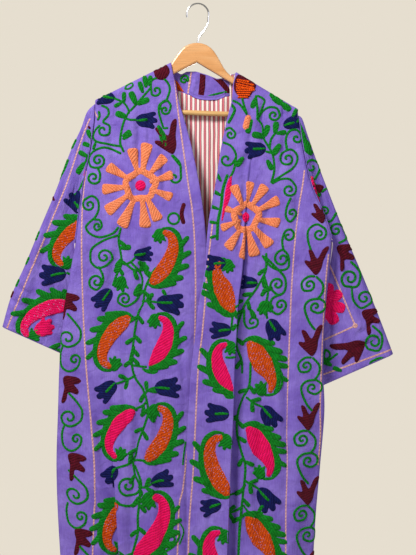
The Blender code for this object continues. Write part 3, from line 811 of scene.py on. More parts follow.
def sleeve_column(side, column, ring):
    table = np.array(SLEEVE_ROWS[side])[:, column]
    ring = np.clip(ring, 0, LAST_RING)
    i = np.minimum(ring.astype(int), len(table) - 2)
    return curved(table, np.gradient(table), i, ring - i)


def seam_bend(side, ring, share):
    """How far a ring leaves its straight line, at a share along it, to follow the armhole's curve."""
    first = SLEEVE_ROWS[side][0]
    seam = side_x(side, mix(first[TOP_Z], first[LOW_Z], share)) + side * (CLOTH / 2 + SLEEVE_SEAM_GAP)
    return sleeve_column(side, FOLLOW, ring) * (seam - mix(first[TOP_X], first[LOW_X], share))


def ring_line(side, ring, share):
    """A place on a ring between the top fold, 0, and the underarm side, 1, as x, middle y and z."""
    top_x, top_y, top_z, low_x, low_y, low_z = (sleeve_column(side, c, ring) for c in range(6))
    x = mix(top_x, low_x, share) + seam_bend(side, ring, share)
    return x, mix(top_y, low_y, share), mix(top_z, low_z, share)


def sleeve_wall(side, ring, share, wall):
    """A point of the sleeve's front wall (-1) or back wall (1)."""
    x, y, z = ring_line(side, ring, share)
    top_x, top_z, low_x, low_z = (sleeve_column(side, c, ring) for c in (TOP_X, TOP_Z, LOW_X, LOW_Z))
    half = sleeve_column(side, HALF_DEPTH, ring)
    end = half / np.hypot(top_x - low_x, top_z - low_z)
    near_end = np.clip((end - np.minimum(share, 1 - share)) / end, 0, 1)
    rounded = np.sqrt(1 - near_end**2)
    settled = ease(ring / 1.2) * rounded**2 * ease((LAST_RING - ring + 0.15) / 0.5)
    crease = creased(SLEEVE_CREASES[side], x, z) * settled * 0.9
    return np.stack([x, y + wall * (half * rounded - crease), z], -1)


def sleeve_cloth(side):
    """The whole tube for flat places: round the ring in millimetres, and down from the armhole."""

    def cloth(around, down):
        around, down = np.broadcast_arrays(np.asarray(around, float), np.asarray(down, float))
        around = np.mod(around, 2 * SLEEVE_SPAN)
        wall = np.where(around <= SLEEVE_SPAN, -1, 1)
        share = np.where(around <= SLEEVE_SPAN, around, 2 * SLEEVE_SPAN - around) / SLEEVE_SPAN
        return sleeve_wall(side, np.clip(-down / SLEEVE_STEP, 0, LAST_RING), share, wall)

    return cloth


def sleeve_face(side, wall):
    """One wall of the sleeve for places seen square to it, as x and z."""
    rings = np.linspace(0, LAST_RING, 161)

    def cloth(x, z):
        x, z = np.broadcast_arrays(np.asarray(x, float), np.asarray(z, float))
        flat_x, flat_z = x.reshape(-1, 1), z.reshape(-1, 1)
        columns = (TOP_X, TOP_Z, LOW_X, LOW_Z)
        top_x, top_z, low_x, low_z = (sleeve_column(side, c, rings)[None] for c in columns)
        long_x, long_z = low_x - top_x, low_z - top_z
        share = 0.5 + 0 * flat_x * rings
        for _ in range(3):
            off_x = flat_x - seam_bend(side, rings, share) - top_x
            free = (off_x * long_x + (flat_z - top_z) * long_z) / (long_x**2 + long_z**2)
            share = np.clip(free, 0, 1)
        beside = (off_x * long_z - (flat_z - top_z) * long_x) * side
        within = (free > -0.01) & (free < 1.01)
        crossing = (np.diff(np.sign(beside), axis=1) != 0) & (within[:, :-1] | within[:, 1:])
        passed, found = crossing.shape[1] - 1 - crossing[:, ::-1].argmax(1), crossing.any(1)
        following = np.minimum(passed + 1, len(rings) - 1)
        nearest = np.abs(beside / np.hypot(long_x, long_z)).argmin(1)
        row = np.arange(len(flat_x))
        before, after = beside[row, passed], beside[row, following]
        t = np.where(found, before / np.where(before == after, 1, before - after), 0)
        ring = np.where(found, mix(rings[passed], rings[following], t), rings[nearest])
        at = np.where(found, mix(share[row, passed], share[row, following], t), share[row, nearest])
        ring, at = np.clip(ring, 0.12, LAST_RING - 0.02), np.clip(at, 0.004, 0.996)
        return sleeve_wall(side, ring, at, wall).reshape(x.shape + (3,))

    return cloth


rounded_end = SLEEVE_ROUND * (1 - np.cos(np.linspace(0, math.pi / 2, 6)))
flat_part = np.linspace(SLEEVE_ROUND, 1 - SLEEVE_ROUND, 46)[1:-1]
shares = np.concatenate([rounded_end, flat_part, 1 - rounded_end[::-1]])
around = np.concatenate([shares, 2 - shares[-2:0:-1]]) * SLEEVE_SPAN
down = -np.concatenate([[0.0, 0.02, 0.06], np.linspace(0.12, LAST_RING, 104)]) * SLEEVE_STEP
drawn, z = np.meshgrid(around, down)
for side, name in ((LEFT, "sleeve_left"), (RIGHT, "sleeve_right")):
    panel = cloth_panel(name + "_cloth", sleeve_cloth(side), drawn, z, side, CLOTH, lined, ring=True)
    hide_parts(name)

# The needlework: hand chain stitch in thick acrylic yarn, worked through the outer cloth in raised
# rows, so every stem is a rounded cord and every leaf and petal a low ribbed pad.
ROW_PITCH = 2.4
CORD_WIDTH = 5.6
CORD_HEIGHT = 1.5
PAD_HEIGHT = 1.7
THREADS = (
    "green", "navy", "maroon", "pink", "orange", "peach", "hot_orange", "pale_pink",
    "speckled_orange", "speckled_pink",
)
# Three colours for each yarn: first the painted shade between the stitch rows, then the dye's two tones.
THREAD_DYES_AND_PAINTED_SHADE = {
    "green": ("#00480c", "#047216", "#0a9026"),
    "navy": ("#02042a", "#050c48", "#101c66"),
    "maroon": ("#240010", "#480418", "#620a24"),
    "pink": ("#a8003c", "#e60058", "#fb1070"),
    "orange": ("#842400", "#c44206", "#de5a10"),
    "peach": ("#cc6038", "#f0865a", "#fa9c70"),
    "hot_orange": ("#902400", "#ee4e00", "#fb6a0a"),
    "pale_pink": ("#ac7c84", "#d49c9c", "#e4b8b0"),
}
SPECKLE_PITCH = 5.0
SPECKLE_RADIUS = 0.17
SPECKLE_COLOUR = "#a48cc0"
DYE_CLOUD = 9.0


def chain_stitch(name, shades, speckled=False):
    """Rows of looped yarn with painted shade between the rows, so their tops read lighter, and a little
    change of dye.
    """
    material, tree, shader = new_material(name, 0.72, 1.48)
    shader.inputs["Specular IOR Level"].default_value = 0.15
    place = flat_place(tree)
    rows = bands(tree, place, "Y", ROW_PITCH, Distortion=1.7, Detail=1)
    loops = bands(tree, place, "DIAGONAL", ROW_PITCH * 1.6, Distortion=2.4)
    twist = combined(tree, "ADD", rows, loops)
    base = ramp(tree, noise(tree, place, 1 / DYE_CLOUD, 3), [(0.32, shades[1]), (0.7, shades[2])])
    # Painted shade: the yarn's darkest colour lies in the sinks between the stitch rows and loops.
    colour = overlaid(tree, ramp(tree, twist, [(0.25, 1.0), (0.7, 0.0)]), base, shades[0])
    if speckled:
        settings = {"Scale": 1 / SPECKLE_PITCH, "Randomness": 0.45}
        dots = node(tree, "ShaderNodeTexVoronoi", [("Vector", place)], **settings).outputs["Distance"]
        inside_dot = ramp(tree, dots, [(SPECKLE_RADIUS, 1.0), (SPECKLE_RADIUS + 0.07, 0.0)])
        colour = overlaid(tree, inside_dot, colour, SPECKLE_COLOUR)
    finish_with(tree, shader, colour, raised(tree, twist, 0.9, 0.0012))
    return material


thread_materials = []
for thread in THREADS:
    plain = thread.replace("speckled_", "")
    name = thread.replace("_", " ") + " chain-stitched yarn"
    thread_materials.append(chain_stitch(name, THREAD_DYES_AND_PAINTED_SHADE[plain], thread != plain))


def resampled(points, spacing, closed=False):
    """The same line with even steps."""
    points = np.asarray(points, float)
    if closed:
        points = np.concatenate([points, points[:1]])
    length = np.concatenate([[0], np.cumsum(np.linalg.norm(np.diff(points, axis=0), axis=1))])
    count = max(3, int(round(length[-1] / spacing)) + 1)
    at = np.linspace(0, length[-1], count)
    line = np.stack([np.interp(at, length, points[:, k]) for k in range(points.shape[1])], 1)
    return line[:-1] if closed else line


def headings(line, closed=False):
    """The way along a line at each of its points, and the way to its left, both one long."""
    along = np.roll(line, -1, 0) - np.roll(line, 1, 0) if closed else np.gradient(line, axis=0)
    along /= np.maximum(np.linalg.norm(along, axis=1, keepdims=True), 1e-9)
    return along, np.stack([-along[:, 1], along[:, 0]], 1)


def spread_over(values, count):
    """A few values, such as the widths of a line, read at an even number of places along it."""
    return np.interp(np.linspace(0, 1, count), np.linspace(0, 1, len(values)), values)


def circle(turns):
    return np.stack([np.cos(turns), np.sin(turns)], 1)


def degrees_of(way):
    return math.degrees(math.atan2(way[1], way[0]))


def smoothed(points, closed=False, steps=8):
    """A smooth line through points."""
    points = np.asarray(points, float)
    count = len(points)
    if count < 3:
        return points
    segments = count if closed else count - 1
    t = np.linspace(0, 1, steps, endpoint=False)[:, None]
    line = []
    for k in range(segments):
        pick = [(k + j) % count if closed else min(max(k + j, 0), count - 1) for j in (-1, 0, 1, 2)]
        a, b, c, d = points[pick]
        bent = (2 * a - 5 * b + 4 * c - d) * t**2 + (3 * b - a - 3 * c + d) * t**3
        line.append(0.5 * (2 * b + (c - a) * t + bent))
    return np.concatenate(line + ([] if closed else [points[-1:]]))


CORD_STEP = 3.2
CORD_END = 0.7
CORD_PROFILE = ((-1, -0.4), (-0.66, 0.72), (0, 1.0), (0.66, 0.72), (1, -0.4))
RIM_STEP = 2.8
RIM_WIDTH = 1.25
PAD_GRID = 5.0
OVERLAY_STEP = 0.03
OFF_PANEL = 1.2


class Needlework:
    """Gathers one panel's embroidery in flat places, then lays it on the cloth as one raised piece."""

    def __init__(self):
        self.points, self.faces, self.threads, self.flat = [], [], [], []
        self.count, self.layer = 0, 0

    def add(self, points, heights, faces, thread, flat):
        self.layer += 1
        lift = OVERLAY_STEP * (self.layer % 9)
        self.points.append(np.column_stack([points, np.asarray(heights) + lift]))
        self.faces += [[k + self.count for k in face] for face in faces]
        self.threads += [THREADS.index(thread)] * len(faces)
        self.flat.append(flat)
        self.count += len(points)

    def cord(self, path, width=CORD_WIDTH, thread="green", height=CORD_HEIGHT):
        """A raised cord along a line. width is one number, or its values at even places along it."""
        line = resampled(path, CORD_STEP)
        size = len(line)
        along, away = headings(line)
        half = spread_over(np.atleast_1d(width), size) / 2
        first = line[:1] - along[:1] * half[0] * CORD_END
        last = line[-1:] + along[-1:] * half[-1] * CORD_END
        line = np.concatenate([first, line, last])
        away = np.concatenate([away[:1], away, away[-1:]])
        half = np.concatenate([[half[0] * 0.45], half, [half[-1] * 0.45]])
        rise = np.concatenate([[0.35], np.ones(size), [0.35]])
        points = np.concatenate([line + away * (half * off)[:, None] for off, _ in CORD_PROFILE])
        top = height * np.minimum(half / (CORD_WIDTH / 2), 1.15)
        rises = [top * up * rise if up > 0 else up * 0.5 + 0 * rise for _, up in CORD_PROFILE]
        heights = np.concatenate(rises)
        run = np.concatenate([[0], np.cumsum(np.linalg.norm(np.diff(line, axis=0), axis=1))])
        flat = np.concatenate([np.stack([run, half * off], 1) for off, _ in CORD_PROFILE])
        faces = []
        for j in range(len(CORD_PROFILE) - 1):
            for k in range(size + 1):
                a, b = j * (size + 2) + k, (j + 1) * (size + 2) + k
                faces.append((a, a + 1, b + 1, b))
        self.add(points, heights, faces, thread, flat)

    def pad(self, outline, thread="green", height=PAD_HEIGHT):
        """A filled shape: its rim at the cloth, its middle raised, and its rows laid along it."""
        rim = resampled(outline, RIM_STEP, closed=True)
        after = np.roll(rim, -1, 0)
        if np.sum(rim[:, 0] * after[:, 1] - after[:, 0] * rim[:, 1]) < 0:
            rim = rim[::-1]
        inset = rim + headings(rim, closed=True)[1] * RIM_WIDTH
        low, high = rim.min(0) + PAD_GRID / 2, rim.max(0)
        x, z = np.meshgrid(np.arange(low[0], high[0], PAD_GRID), np.arange(low[1], high[1], PAD_GRID))
        spots = np.stack([x.ravel(), z.ravel()], 1)
        if len(spots):
            spots = spots[np.linalg.norm(spots[:, None] - rim[None], axis=2).min(1) > 3.0]
        points = np.concatenate([rim, inset, spots])
        size = len(rim)
        made = delaunay_2d_cdt([Vector(p) for p in points.tolist()], [], [list(range(size))], 1, 1e-4)
        places = np.array([tuple(v) for v in made[0]])
        source = [ids[0] if ids else size for ids in made[3]]
        heights = np.array([-0.2 if number < size else height for number in source])
        uneven = 0.18 * np.sin(places[:, 0] * 0.9) * np.cos(places[:, 1] * 0.8)
        heights = heights + np.where(heights > 0, uneven, 0)
        spread = rim - rim.mean(0)
        _, vectors = np.linalg.eigh(spread.T @ spread)
        lay = math.atan2(vectors[1, 1], vectors[0, 1])
        turn = np.array([[math.cos(lay), -math.sin(lay)], [math.sin(lay), math.cos(lay)]])
        self.add(places, heights, [list(face) for face in made[2]], thread, places @ turn)

    def sew(self, name, cloth, out, limits, half=CLOTH / 2):
        """Lays everything on the cloth, half a thickness out. limits keeps the places on the panel."""
        points = np.concatenate(self.points)
        flat = np.concatenate(self.flat)
        drawn, z = limits(points[:, 0], points[:, 1])
        moved = np.hypot(drawn - points[:, 0], z - points[:, 1]) > OFF_PANEL
        place, normal = facing(cloth, drawn, z, out)
        rise = half + np.where(moved, np.minimum(points[:, 2], 0.2), points[:, 2])
        where = place + normal * rise[:, None]
        outside = ~moved
        faces, threads = [], []
        for face, thread in zip(self.faces, self.threads):
            if outside[face].any():
                faces.append(face)
                threads.append(thread)
        obj = mesh_object(name, where, faces, threads, thread_materials, flat)
        first = np.array([f[:3] for f in faces])
        a, b, c = where[first[:, 0]], where[first[:, 1]], where[first[:, 2]]
        turned = np.cross(b - a, c - a)
        wrong = (turned * normal[first[:, 0]]).sum(1) < 0
        if wrong.mean() > 0.02:
            mesh = obj.data
            for number in np.flatnonzero(wrong):
                mesh.polygons[number].flip()
        return obj


def placed(shape, place, angle=0.0, size=1.0, mirror=False):
    """A motif's own outline, pointing along +x, turned by degrees and put at a place."""
    shape = np.asarray(shape, float) * size
    if mirror:
        shape = shape * (1, -1)
    turn = math.radians(angle)
    spin = np.array([[math.cos(turn), math.sin(turn)], [-math.sin(turn), math.cos(turn)]])
    return shape @ spin + place


def widened(spine, halves, steps=6):
    """The outline of a line that has a half width at each of its points, with rounded ends."""
    line = smoothed(spine, steps=steps)
    half = spread_over(halves, len(line))
    along, left = headings(line)
    away = left * half[:, None]
    turns = np.linspace(-math.pi / 2, math.pi / 2, 7)[1:-1, None]
    front = line[-1] + along[-1] * half[-1] * np.cos(turns) + away[-1] * -np.sin(turns)
    back_end = line[0] - along[0] * half[0] * np.cos(turns) + away[0] * np.sin(turns)
    return np.concatenate([line + away, front, (line - away)[::-1], back_end])


LEAF = [
    (0, 0.11), (0.25, 0.2), (0.65, 0.25), (0.93, 0.19), (1.0, 0.0), (0.93, -0.19), (0.65, -0.25),
    (0.25, -0.2), (0, -0.11),
]
HAND_LEAF = [
    (0, 0.05), (0.2, 0.3), (0.42, 0.42), (0.55, 0.62), (0.66, 0.58), (0.66, 0.38), (0.82, 0.44),
    (0.96, 0.38),
    (0.94, 0.24), (0.86, 0.16), (1.0, 0.08), (1.04, -0.06), (0.92, -0.14), (0.84, -0.14), (0.88, -0.28),
    (0.78, -0.38), (0.6, -0.34), (0.35, -0.36), (0.12, -0.24),
]
BELL = [
    (0, 0), (0.05, 0.15), (0.22, 0.27), (0.5, 0.31), (0.82, 0.37), (0.94, 0.32), (0.93, 0.21), (0.8, 0.14),
    (0.96, 0.05), (1.0, -0.06), (0.94, -0.15), (0.78, -0.16), (0.87, -0.28), (0.86, -0.39), (0.76, -0.43),
    (0.62, -0.37), (0.3, -0.31), (0.08, -0.18),
]
BELL_EYE = [(0.03, 0), (0.3, 0), (0.56, 0.02)]
PETAL = [
    (0.3, 0.055), (0.48, 0.07), (0.7, 0.1), (0.9, 0.135), (0.98, 0.13), (1.01, 0.06), (1.0, -0.05),
    (0.97, -0.13),
    (0.88, -0.135), (0.7, -0.1), (0.48, -0.065), (0.3, -0.055),
]
CLAW = [
    (0, 0), (0.1, 0.22), (0.25, 0.5), (0.34, 0.5), (0.37, 0.34), (0.63, 0.54), (0.71, 0.53),
    (0.69, 0.4), (0.52, 0.165),
    (0.84, 0.13), (1.0, 0.05), (0.97, -0.04), (0.55, -0.05), (0.29, -0.1), (0.1, -0.08),
]
WIDE_CLAW = [
    (0, -0.02), (-0.02, 0.12), (0.01, 0.42), (0.11, 0.57), (0.23, 0.46), (0.27, 0.31), (0.42, 0.47),
    (0.53, 0.53),
    (0.62, 0.45), (0.57, 0.25), (0.61, 0.14), (0.86, 0.12), (1.0, 0.02), (0.94, -0.06), (0.46, -0.02),
    (0.28, -0.08),
    (0.09, -0.11),
]
DROP_SPINE = [
    (-0.45, 0.03), (-0.37, -0.01), (-0.2, -0.09), (0.02, -0.145), (0.24, -0.145), (0.4, -0.065),
    (0.44, 0.06),
]
PEAR_SPINE = [(-0.43, 0.0), (-0.28, -0.035), (-0.02, -0.06), (0.19, -0.09), (0.37, -0.065), (0.46, 0.01)]
# Each shape of teardrop: its spine and its half widths along it, for a length of one.
DROP_SHAPES = {
    "round": (DROP_SPINE, (0.085, 0.125, 0.142, 0.125, 0.1, 0.075, 0.055)),
    "pointed": (DROP_SPINE, (0.006, 0.065, 0.135, 0.145, 0.11, 0.072, 0.045)),
    "pear": (PEAR_SPINE, (0.08, 0.16, 0.185, 0.12, 0.07, 0.045)),
}
FRAME_GAP = 4.5
FRAME_START = [(-0.53, 0.12), (-0.545, 0.02), (-0.5, -0.1)]
FRAME_WIDTHS = (5, 13, 20, 21, 19, 16, 13, 10, 8, 7)
FEATHER = [
    (-0.2, 0.24), (0.3, 0.24), (0.72, 0.23), (0.94, 0.16), (1.03, 0.0), (0.94, -0.15), (0.72, -0.21),
    (0.3, -0.24), (-0.2, -0.25),
]
FEATHER_LENGTHS = (23, 29, 31, 30, 27, 24, 20)
ARCH = [(0.08, -0.27), (0.3, -0.275), (0.47, -0.19), (0.545, -0.03), (0.5, 0.12)]


def stem(work, path, width=CORD_WIDTH, thread="green", height=CORD_HEIGHT):
    work.cord(smoothed(path), width, thread, height)


def patch(work, outline, thread, height=PAD_HEIGHT):
    work.pad(smoothed(outline, True, 4), thread, height)


def motif(work, shape, place, angle, length, thread, mirror=False, height=PAD_HEIGHT, steps=3):
    """One of the outlines above as a filled pad that points from its place, by degrees."""
    work.pad(smoothed(placed(shape, place, angle, length, mirror), True, steps), thread, height)


def leaf(work, place, angle, length=24.0, width=1.0, thread="green"):
    motif(work, np.array(LEAF) * (1, width), place, angle, length, thread, steps=4)


def hand_leaf(work, place, angle, length=42.0, mirror=False):
    motif(work, HAND_LEAF, place, angle, length, "green", mirror)


def bell(work, place, angle, length=60.0, mirror=False):
    """The navy bell flower with a green eye, its base at the place."""
    motif(work, BELL, place, angle, length, "navy", mirror)
    work.cord(smoothed(placed(BELL_EYE, place, angle, length, mirror)), [4, 7.5, 8, 7], "green", 3.2)


def claw(work, place, angle, length=62.0, wide=False):
    """The maroon flower: a pointed base and three fingers, the last one long."""
    motif(work, WIDE_CLAW if wide else CLAW, place, angle, length, "maroon")


def scroll(work, path, centre, turns=1.35):
    """A stem that runs in along its path and winds round a centre."""
    start = path[-1] - centre
    begin = math.atan2(start[1], start[0])
    heading = path[-1] - path[-2] if len(path) > 1 else np.array([start[1], -start[0]])
    hand = 1 if start[0] * heading[1] - start[1] * heading[0] > 0 else -1
    t = np.linspace(0, 1, int(26 * turns))[1:]
    shrink = np.hypot(*start) * (1 - 0.82 * t**0.9)
    spiral = centre + circle(begin + hand * t * turns * 2 * math.pi) * shrink[:, None]
    work.cord(np.concatenate([smoothed(path) if len(path) > 1 else path, spiral]))


def teardrop(work, place, angle, length, thread, mirror, shape, spikes, speckled):
    """The curled teardrop, with an arch and a leaf inside its curl and a feathered frame outside."""
    arch = placed(ARCH, place, angle, length, mirror)
    work.cord(smoothed(arch), 6.5)
    inward = placed([(-1, 0.3)], (0, 0), angle, 1, mirror)[0]
    hand_leaf(work, arch[-1], degrees_of(inward), length * 0.27, mirror)
    spine, halves = DROP_SHAPES[shape]
    spine, halves = placed(spine, place, angle, length, mirror), np.array(halves) * length
    line = smoothed(spine, steps=6)
    along, left = headings(line)
    outward = left * (1 if mirror else -1)
    outer = line + outward * (spread_over(halves, len(line))[:, None] + FRAME_GAP)
    under = placed(FRAME_START, place, angle, length, mirror)
    run = outer[int(len(outer) * 0.12) :]
    work.cord(smoothed(np.concatenate([under, run[::4], run[-1:]])), FRAME_WIDTHS)
    for k in range(spikes):
        at = int(len(outer) * (k + 0.1) / spikes * 0.8)
        lean = degrees_of(along[at] * 0.72 + outward[at] * 0.69)
        motif(work, FEATHER, outer[at] + outward[at] * 2, lean, FEATHER_LENGTHS[min(k, 6)], "green")
    work.pad(widened(spine, halves), ("speckled_" if speckled else "") + thread, 2.0)


def sunflower(work, place, tips, ring=32.0):
    """Squared petals round a ring of peach yarn, with a pink knot in the open middle."""
    place = np.asarray(place, float)
    for tip in tips:
        reach = np.asarray(tip, float) - place
        motif(work, PETAL, place, degrees_of(reach), np.hypot(*reach), "peach", height=2.2)
    turns = np.linspace(0, 2 * math.pi, 40)
    uneven = ring + 2.2 * np.sin(5 * turns) + 1.4 * np.sin(2 * turns + 1)
    work.cord(place + circle(turns) * uneven[:, None], 15, "peach", 2.2)
    work.pad(place + circle(turns[:-3]) * 12, "pink", 2.6)


def loop_ring(work, place, radius, thread="green", width=CORD_WIDTH):
    work.cord(np.asarray(place, float) + circle(np.linspace(0, 2 * math.pi, 26)) * radius, width, thread)


def twigs(work, path, leaves):
    """A stem with leaves along it: each leaf is its share along the stem and its side."""
    line = resampled(smoothed(path), 3.0)
    work.cord(line)
    along = np.gradient(line, axis=0)
    for share, hand in leaves:
        at = int(share * (len(line) - 1))
        leaf(work, line[at], degrees_of(along[at]) + hand * 48, 24.0, 0.85)


class Field:
    """The design of one panel, in the places where it is seen from the front."""

    def __init__(self, work, shift=lambda x, z: x, part=None):
        self.work, self.shift, self.part = work, shift, part or (lambda x, z: True)

    def moved(self, path):
        """The path on the flat cloth, moved as one with its middle, or None if it isn't on this part."""
        path = np.atleast_2d(np.asarray(path, float))
        middle = path.mean(0)
        if not self.part(middle[0], middle[1]):
            return None
        return path + ((self.shift(middle[0], middle[1]) - middle[0]), 0)

    def each(self, make, rows):
        for row in rows:
            path = self.moved(row[0])
            if path is not None:
                make(self.work, path[0] if np.ndim(row[0]) == 1 else path, *row[1:])

    def lines(self, paths):
        """Fine pale lines of chain stitch, which keep their place on both sides of a fold."""
        for path in paths:
            path = smoothed(path)
            places = [self.shift(x, z) for x, z in path]
            self.work.cord(np.column_stack([places, path[:, 1]]), 3.6, "pale_pink", 0.9)

    def border(self, bases, scrolls, stems=()):
        """One step of the border's scrolls, worked again below each of its flowers."""
        for base in bases:
            for path, centre, turns in scrolls:
                self.scrolls([(np.array(path) + base, np.array(centre) + base, turns)])
            self.each(stem, [(np.array(path) + base,) for path in stems])

    def scrolls(self, rows):
        for path, centre, turns in rows:
            path = np.asarray(path, float).reshape(-1, 2)
            whole = self.moved(np.concatenate([path, [centre]]))
            if whole is not None:
                scroll(self.work, whole[:-1], whole[-1], turns)


# Left front, from the shoulder down. Rows of teardrops hold the place of their middle, the way the
# tail points in degrees, the length, the yarn, whether it curls to the right, its shape, how many
# feathers it has and whether it is speckled.
LEFT_DROPS = [
    ((-80, -576), 75, 125, "orange", False, "round", 6, True),
    ((-185, -766), -113, 126, "orange", False, "round", 6, True),
    ((-91, -767), 75, 124, "pink", False, "pointed", 6, False),
    ((-172, -971), -112, 116, "pink", False, "round", 6, False),
    ((-91, -970), 76, 126, "orange", False, "round", 6, True),
    ((-178, -1180), -111, 118, "orange", False, "round", 6, True),
    ((-106, -1177), 72, 147, "pink", False, "round", 7, False),
    ((-176, -1367), -110, 116, "pink", False, "round", 4, False),
]
LEFT_BELLS = [
    ((-188, -216), 172, 46, True),
    ((-141, -266), 2, 50, False),
    ((-143, -572), 8, 44, False),
    ((-195, -648), -128, 54, False),
    ((-92, -677), -4, 62, False),
    ((-183, -856), -138, 56, False),
    ((-97, -868), -2, 60, True),
    ((-181, -1045), -132, 54, False),
    ((-104, -1081), 14, 52, True),
    ((-181, -1254), -134, 54, False),
    ((-104, -1290), 4, 58, False),
]
LEFT_CLAWS = [
    ((-58, -343), 84, 80),
    ((-298, -656), -98, 62, True),
    ((-294, -842), -98, 62, True),
    ((-283, -1015), -98, 63, True),
    ((-268, -1183), -99, 62, True),
    ((-263, -1354), -98, 62, True),
]
LEFT_BORDER = [(-298, -664), (-294, -842), (-283, -1015), (-268, -1183), (-263, -1354)]
LEFT_BORDER_STEP = [
    ([(6, -39), (26, -62), (36, -79), (32, -101), (10, -113), (-7, -107), (-12, -93)], (6, -94), 0.95),
    ([(-5, -113), (-10, -131), (-7, -157), (10, -168), (29, -158), (35, -141)], (22, -142), 1.1),
]
LEFT_SCROLLS = [
    ([(-106, -191), (-104, -175), (-88, -169), (-72, -175), (-63, -194), (-70, -219)], (-76, -242), 0.3),
    ([(-106, -191), (-104, -207)], (-94, -198), 1.0),
    ([(-70, -219), (-61, -232), (-65, -248)], (-74, -242), 1.1),
    ([(-70, -221), (-86, -230), (-88, -246), (-84, -263), (-77, -284)], (-67, -282), 0.1),
    ([(-56, -346), (-40, -364), (-38, -389)], (-52, -396), 1.1),
    ([(-217, -232), (-204, -239), (-202, -253), (-214, -269), (-200, -278), (-200, -294)],
        (-214, -288), 0.9),
    ([(-174, -341), (-193, -332), (-214, -328), (-235, -336), (-247, -353), (-241, -371), (-226, -374)],
        (-225, -357), 1.4),
    ([(-226, -373), (-220, -389), (-222, -405)], (-235, -396), 1.2),
    ([(-179, -509), (-192, -523), (-220, -531), (-242, -523), (-251, -509), (-244, -498), (-231, -486),
        (-223, -468), (-225, -448), (-238, -438), (-254, -446)], (-244, -458), 1.3),
    ([(-232, -491), (-220, -493), (-216, -507), (-226, -516)], (-225, -506), 0.9),
    ([(-181, -527), (-213, -539), (-237, -556), (-241, -575), (-238, -589), (-224, -600), (-206, -595),
        (-192, -580)], (-210, -575), 1.3),
    ([(-222, -598), (-213, -616), (-214, -634), (-226, -649), (-240, -643)], (-227, -631), 1.3),
    ([(-148, -589), (-130, -610), (-124, -634), (-136, -670), (-160, -686), (-179, -677)],
        (-164, -670), 1.3),
    ([(-299, -527), (-290, -559), (-290, -586)], (-299, -573), 1.1),
    ([(-140, -1043), (-126, -1081), (-136, -1104), (-160, -1108)], (-156, -1086), 1.35),
    ([(-74, -1236), (-49, -1217), (-40, -1195)], (-58, -1204), 1.2),
    ([(-174, -1127), (-149, -1131), (-133, -1113)], (-131, -1099), 0.4),
]
LEFT_TWIGS = [
    ([(-106, -191), (-124, -212), (-140, -230), (-152, -244)], ()),
    ([(-195, -214), (-176, -221), (-163, -230), (-155, -244), (-155, -250)], ()),
    ([(-183, -248), (-167, -259), (-151, -265), (-138, -264)], ()),
    ([(-156, -248), (-167, -269), (-173, -294), (-175, -318), (-167, -337)], ()),
    ([(-222, -278), (-233, -289), (-237, -305), (-226, -315), (-196, -321), (-174, -325)], ()),
    ([(-174, -511), (-179, -536), (-174, -564), (-167, -591), (-149, -586), (-140, -577)], ((0.25, 1),
        (0.62, -1))),
    ([(-167, -586), (-142, -605), (-117, -605), (-99, -618)], ((0.4, -1), (0.55, 1))),
    ([(-101, -609), (-117, -645), (-122, -679), (-133, -700), (-140, -736), (-145, -777), (-151, -813),
        (-131, -820), (-115, -822)], ((0.18, -1), (0.2, 1), (0.42, 1), (0.44, -1), (0.6, 1), (0.62, -1),
        (0.72, 1))),
    ([(-124, -675), (-108, -675), (-92, -677)], ((0.35, 1), (0.4, -1))),
    ([(-142, -777), (-147, -813), (-140, -845), (-122, -872), (-113, -900), (-111, -927), (-122, -963),
        (-133, -993), (-138, -1018), (-145, -1029)], ((0.1, 1), (0.12, -1), (0.42, -1), (0.56, -1),
        (0.6, 1), (0.72, -1), (0.75, 1), (0.9, -1))),
    ([(-140, -841), (-156, -850), (-181, -859)], ((0.4, 1), (0.45, -1))),
    ([(-115, -900), (-124, -909), (-145, -918)], ((0.3, 1),)),
    ([(-117, -881), (-108, -872), (-95, -868)], ((0.25, 1), (0.35, -1))),
    ([(-181, -1047), (-158, -1040), (-140, -1031), (-115, -1031), (-104, -1029)], ((0.4, 1),)),
    ([(-145, -1036), (-140, -1063), (-129, -1086), (-129, -1118), (-133, -1154), (-133, -1190),
        (-140, -1220), (-147, -1245), (-145, -1276), (-140, -1326)], ((0.1, -1), (0.3, -1), (0.33, 1),
        (0.5, 1), (0.52, -1), (0.7, -1), (0.74, 1), (0.9, 1), (0.92, -1))),
    ([(-131, -1090), (-117, -1090), (-104, -1083)], ((0.5, 1), (0.55, -1))),
    ([(-142, -1245), (-163, -1247), (-181, -1256)], ((0.4, 1), (0.45, -1))),
    ([(-136, -1286), (-117, -1290), (-104, -1290)], ((0.4, 1), (0.45, -1))),
    ([(-86, -1242), (-67, -1231), (-58, -1220)], ((0.3, 1),)),
]
LEFT_LEAVES = [
    ((-90, -278), -63, 38, 0.75), ((-86, -284), -72, 44, 0.75), ((-117, -191), 97, 27, 0.9),
        ((-124, -203), 108, 27, 0.9),
    ((-111, -187), 78, 24, 0.9), ((-139, -230), 114, 33, 0.95), ((-137, -229), 24, 30, 0.95),
        ((-167, -225), 88, 24, 0.95),
    ((-160, -259), 158, 28, 1.1), ((-170, -303), 34, 24), ((-172, -225), 210, 20),
        ((-230, -314), 250, 20, 0.8),
    ((-170, -309), 30, 26, 0.8), ((-104, -623), 58, 28), ((-104, -623), 128, 24), ((-133, -586), -40, 30),
    ((-170, -586), -122, 30), ((-174, -555), 4, 26), ((-129, -636), -112, 30), ((-176, -600), -60, 20),
        ((-70, -664), 120, 18),
]
LEFT_HANDS = [
    ((-167, -618), -112, 36, False),
]
LEFT_CORDS = [
    ([(-213, -210), (-201, -206), (-188, -214)], 6),
    ([(-165, -194), (-160, -186), (-149, -181), (-147, -187), (-156, -194), (-165, -194)], 4.5),
    ([(-226, -264), (-222, -255), (-224, -246)], 6),
    ([(-58, -346), (-49, -357), (-40, -368)],),
    ([(-170, -591), (-181, -614), (-190, -639)],),
    ([(-27, -990), (-31, -1018), (-33, -1040)], 4),
    ([(-38, -1172), (-31, -1190), (-40, -1217)], 4),
]
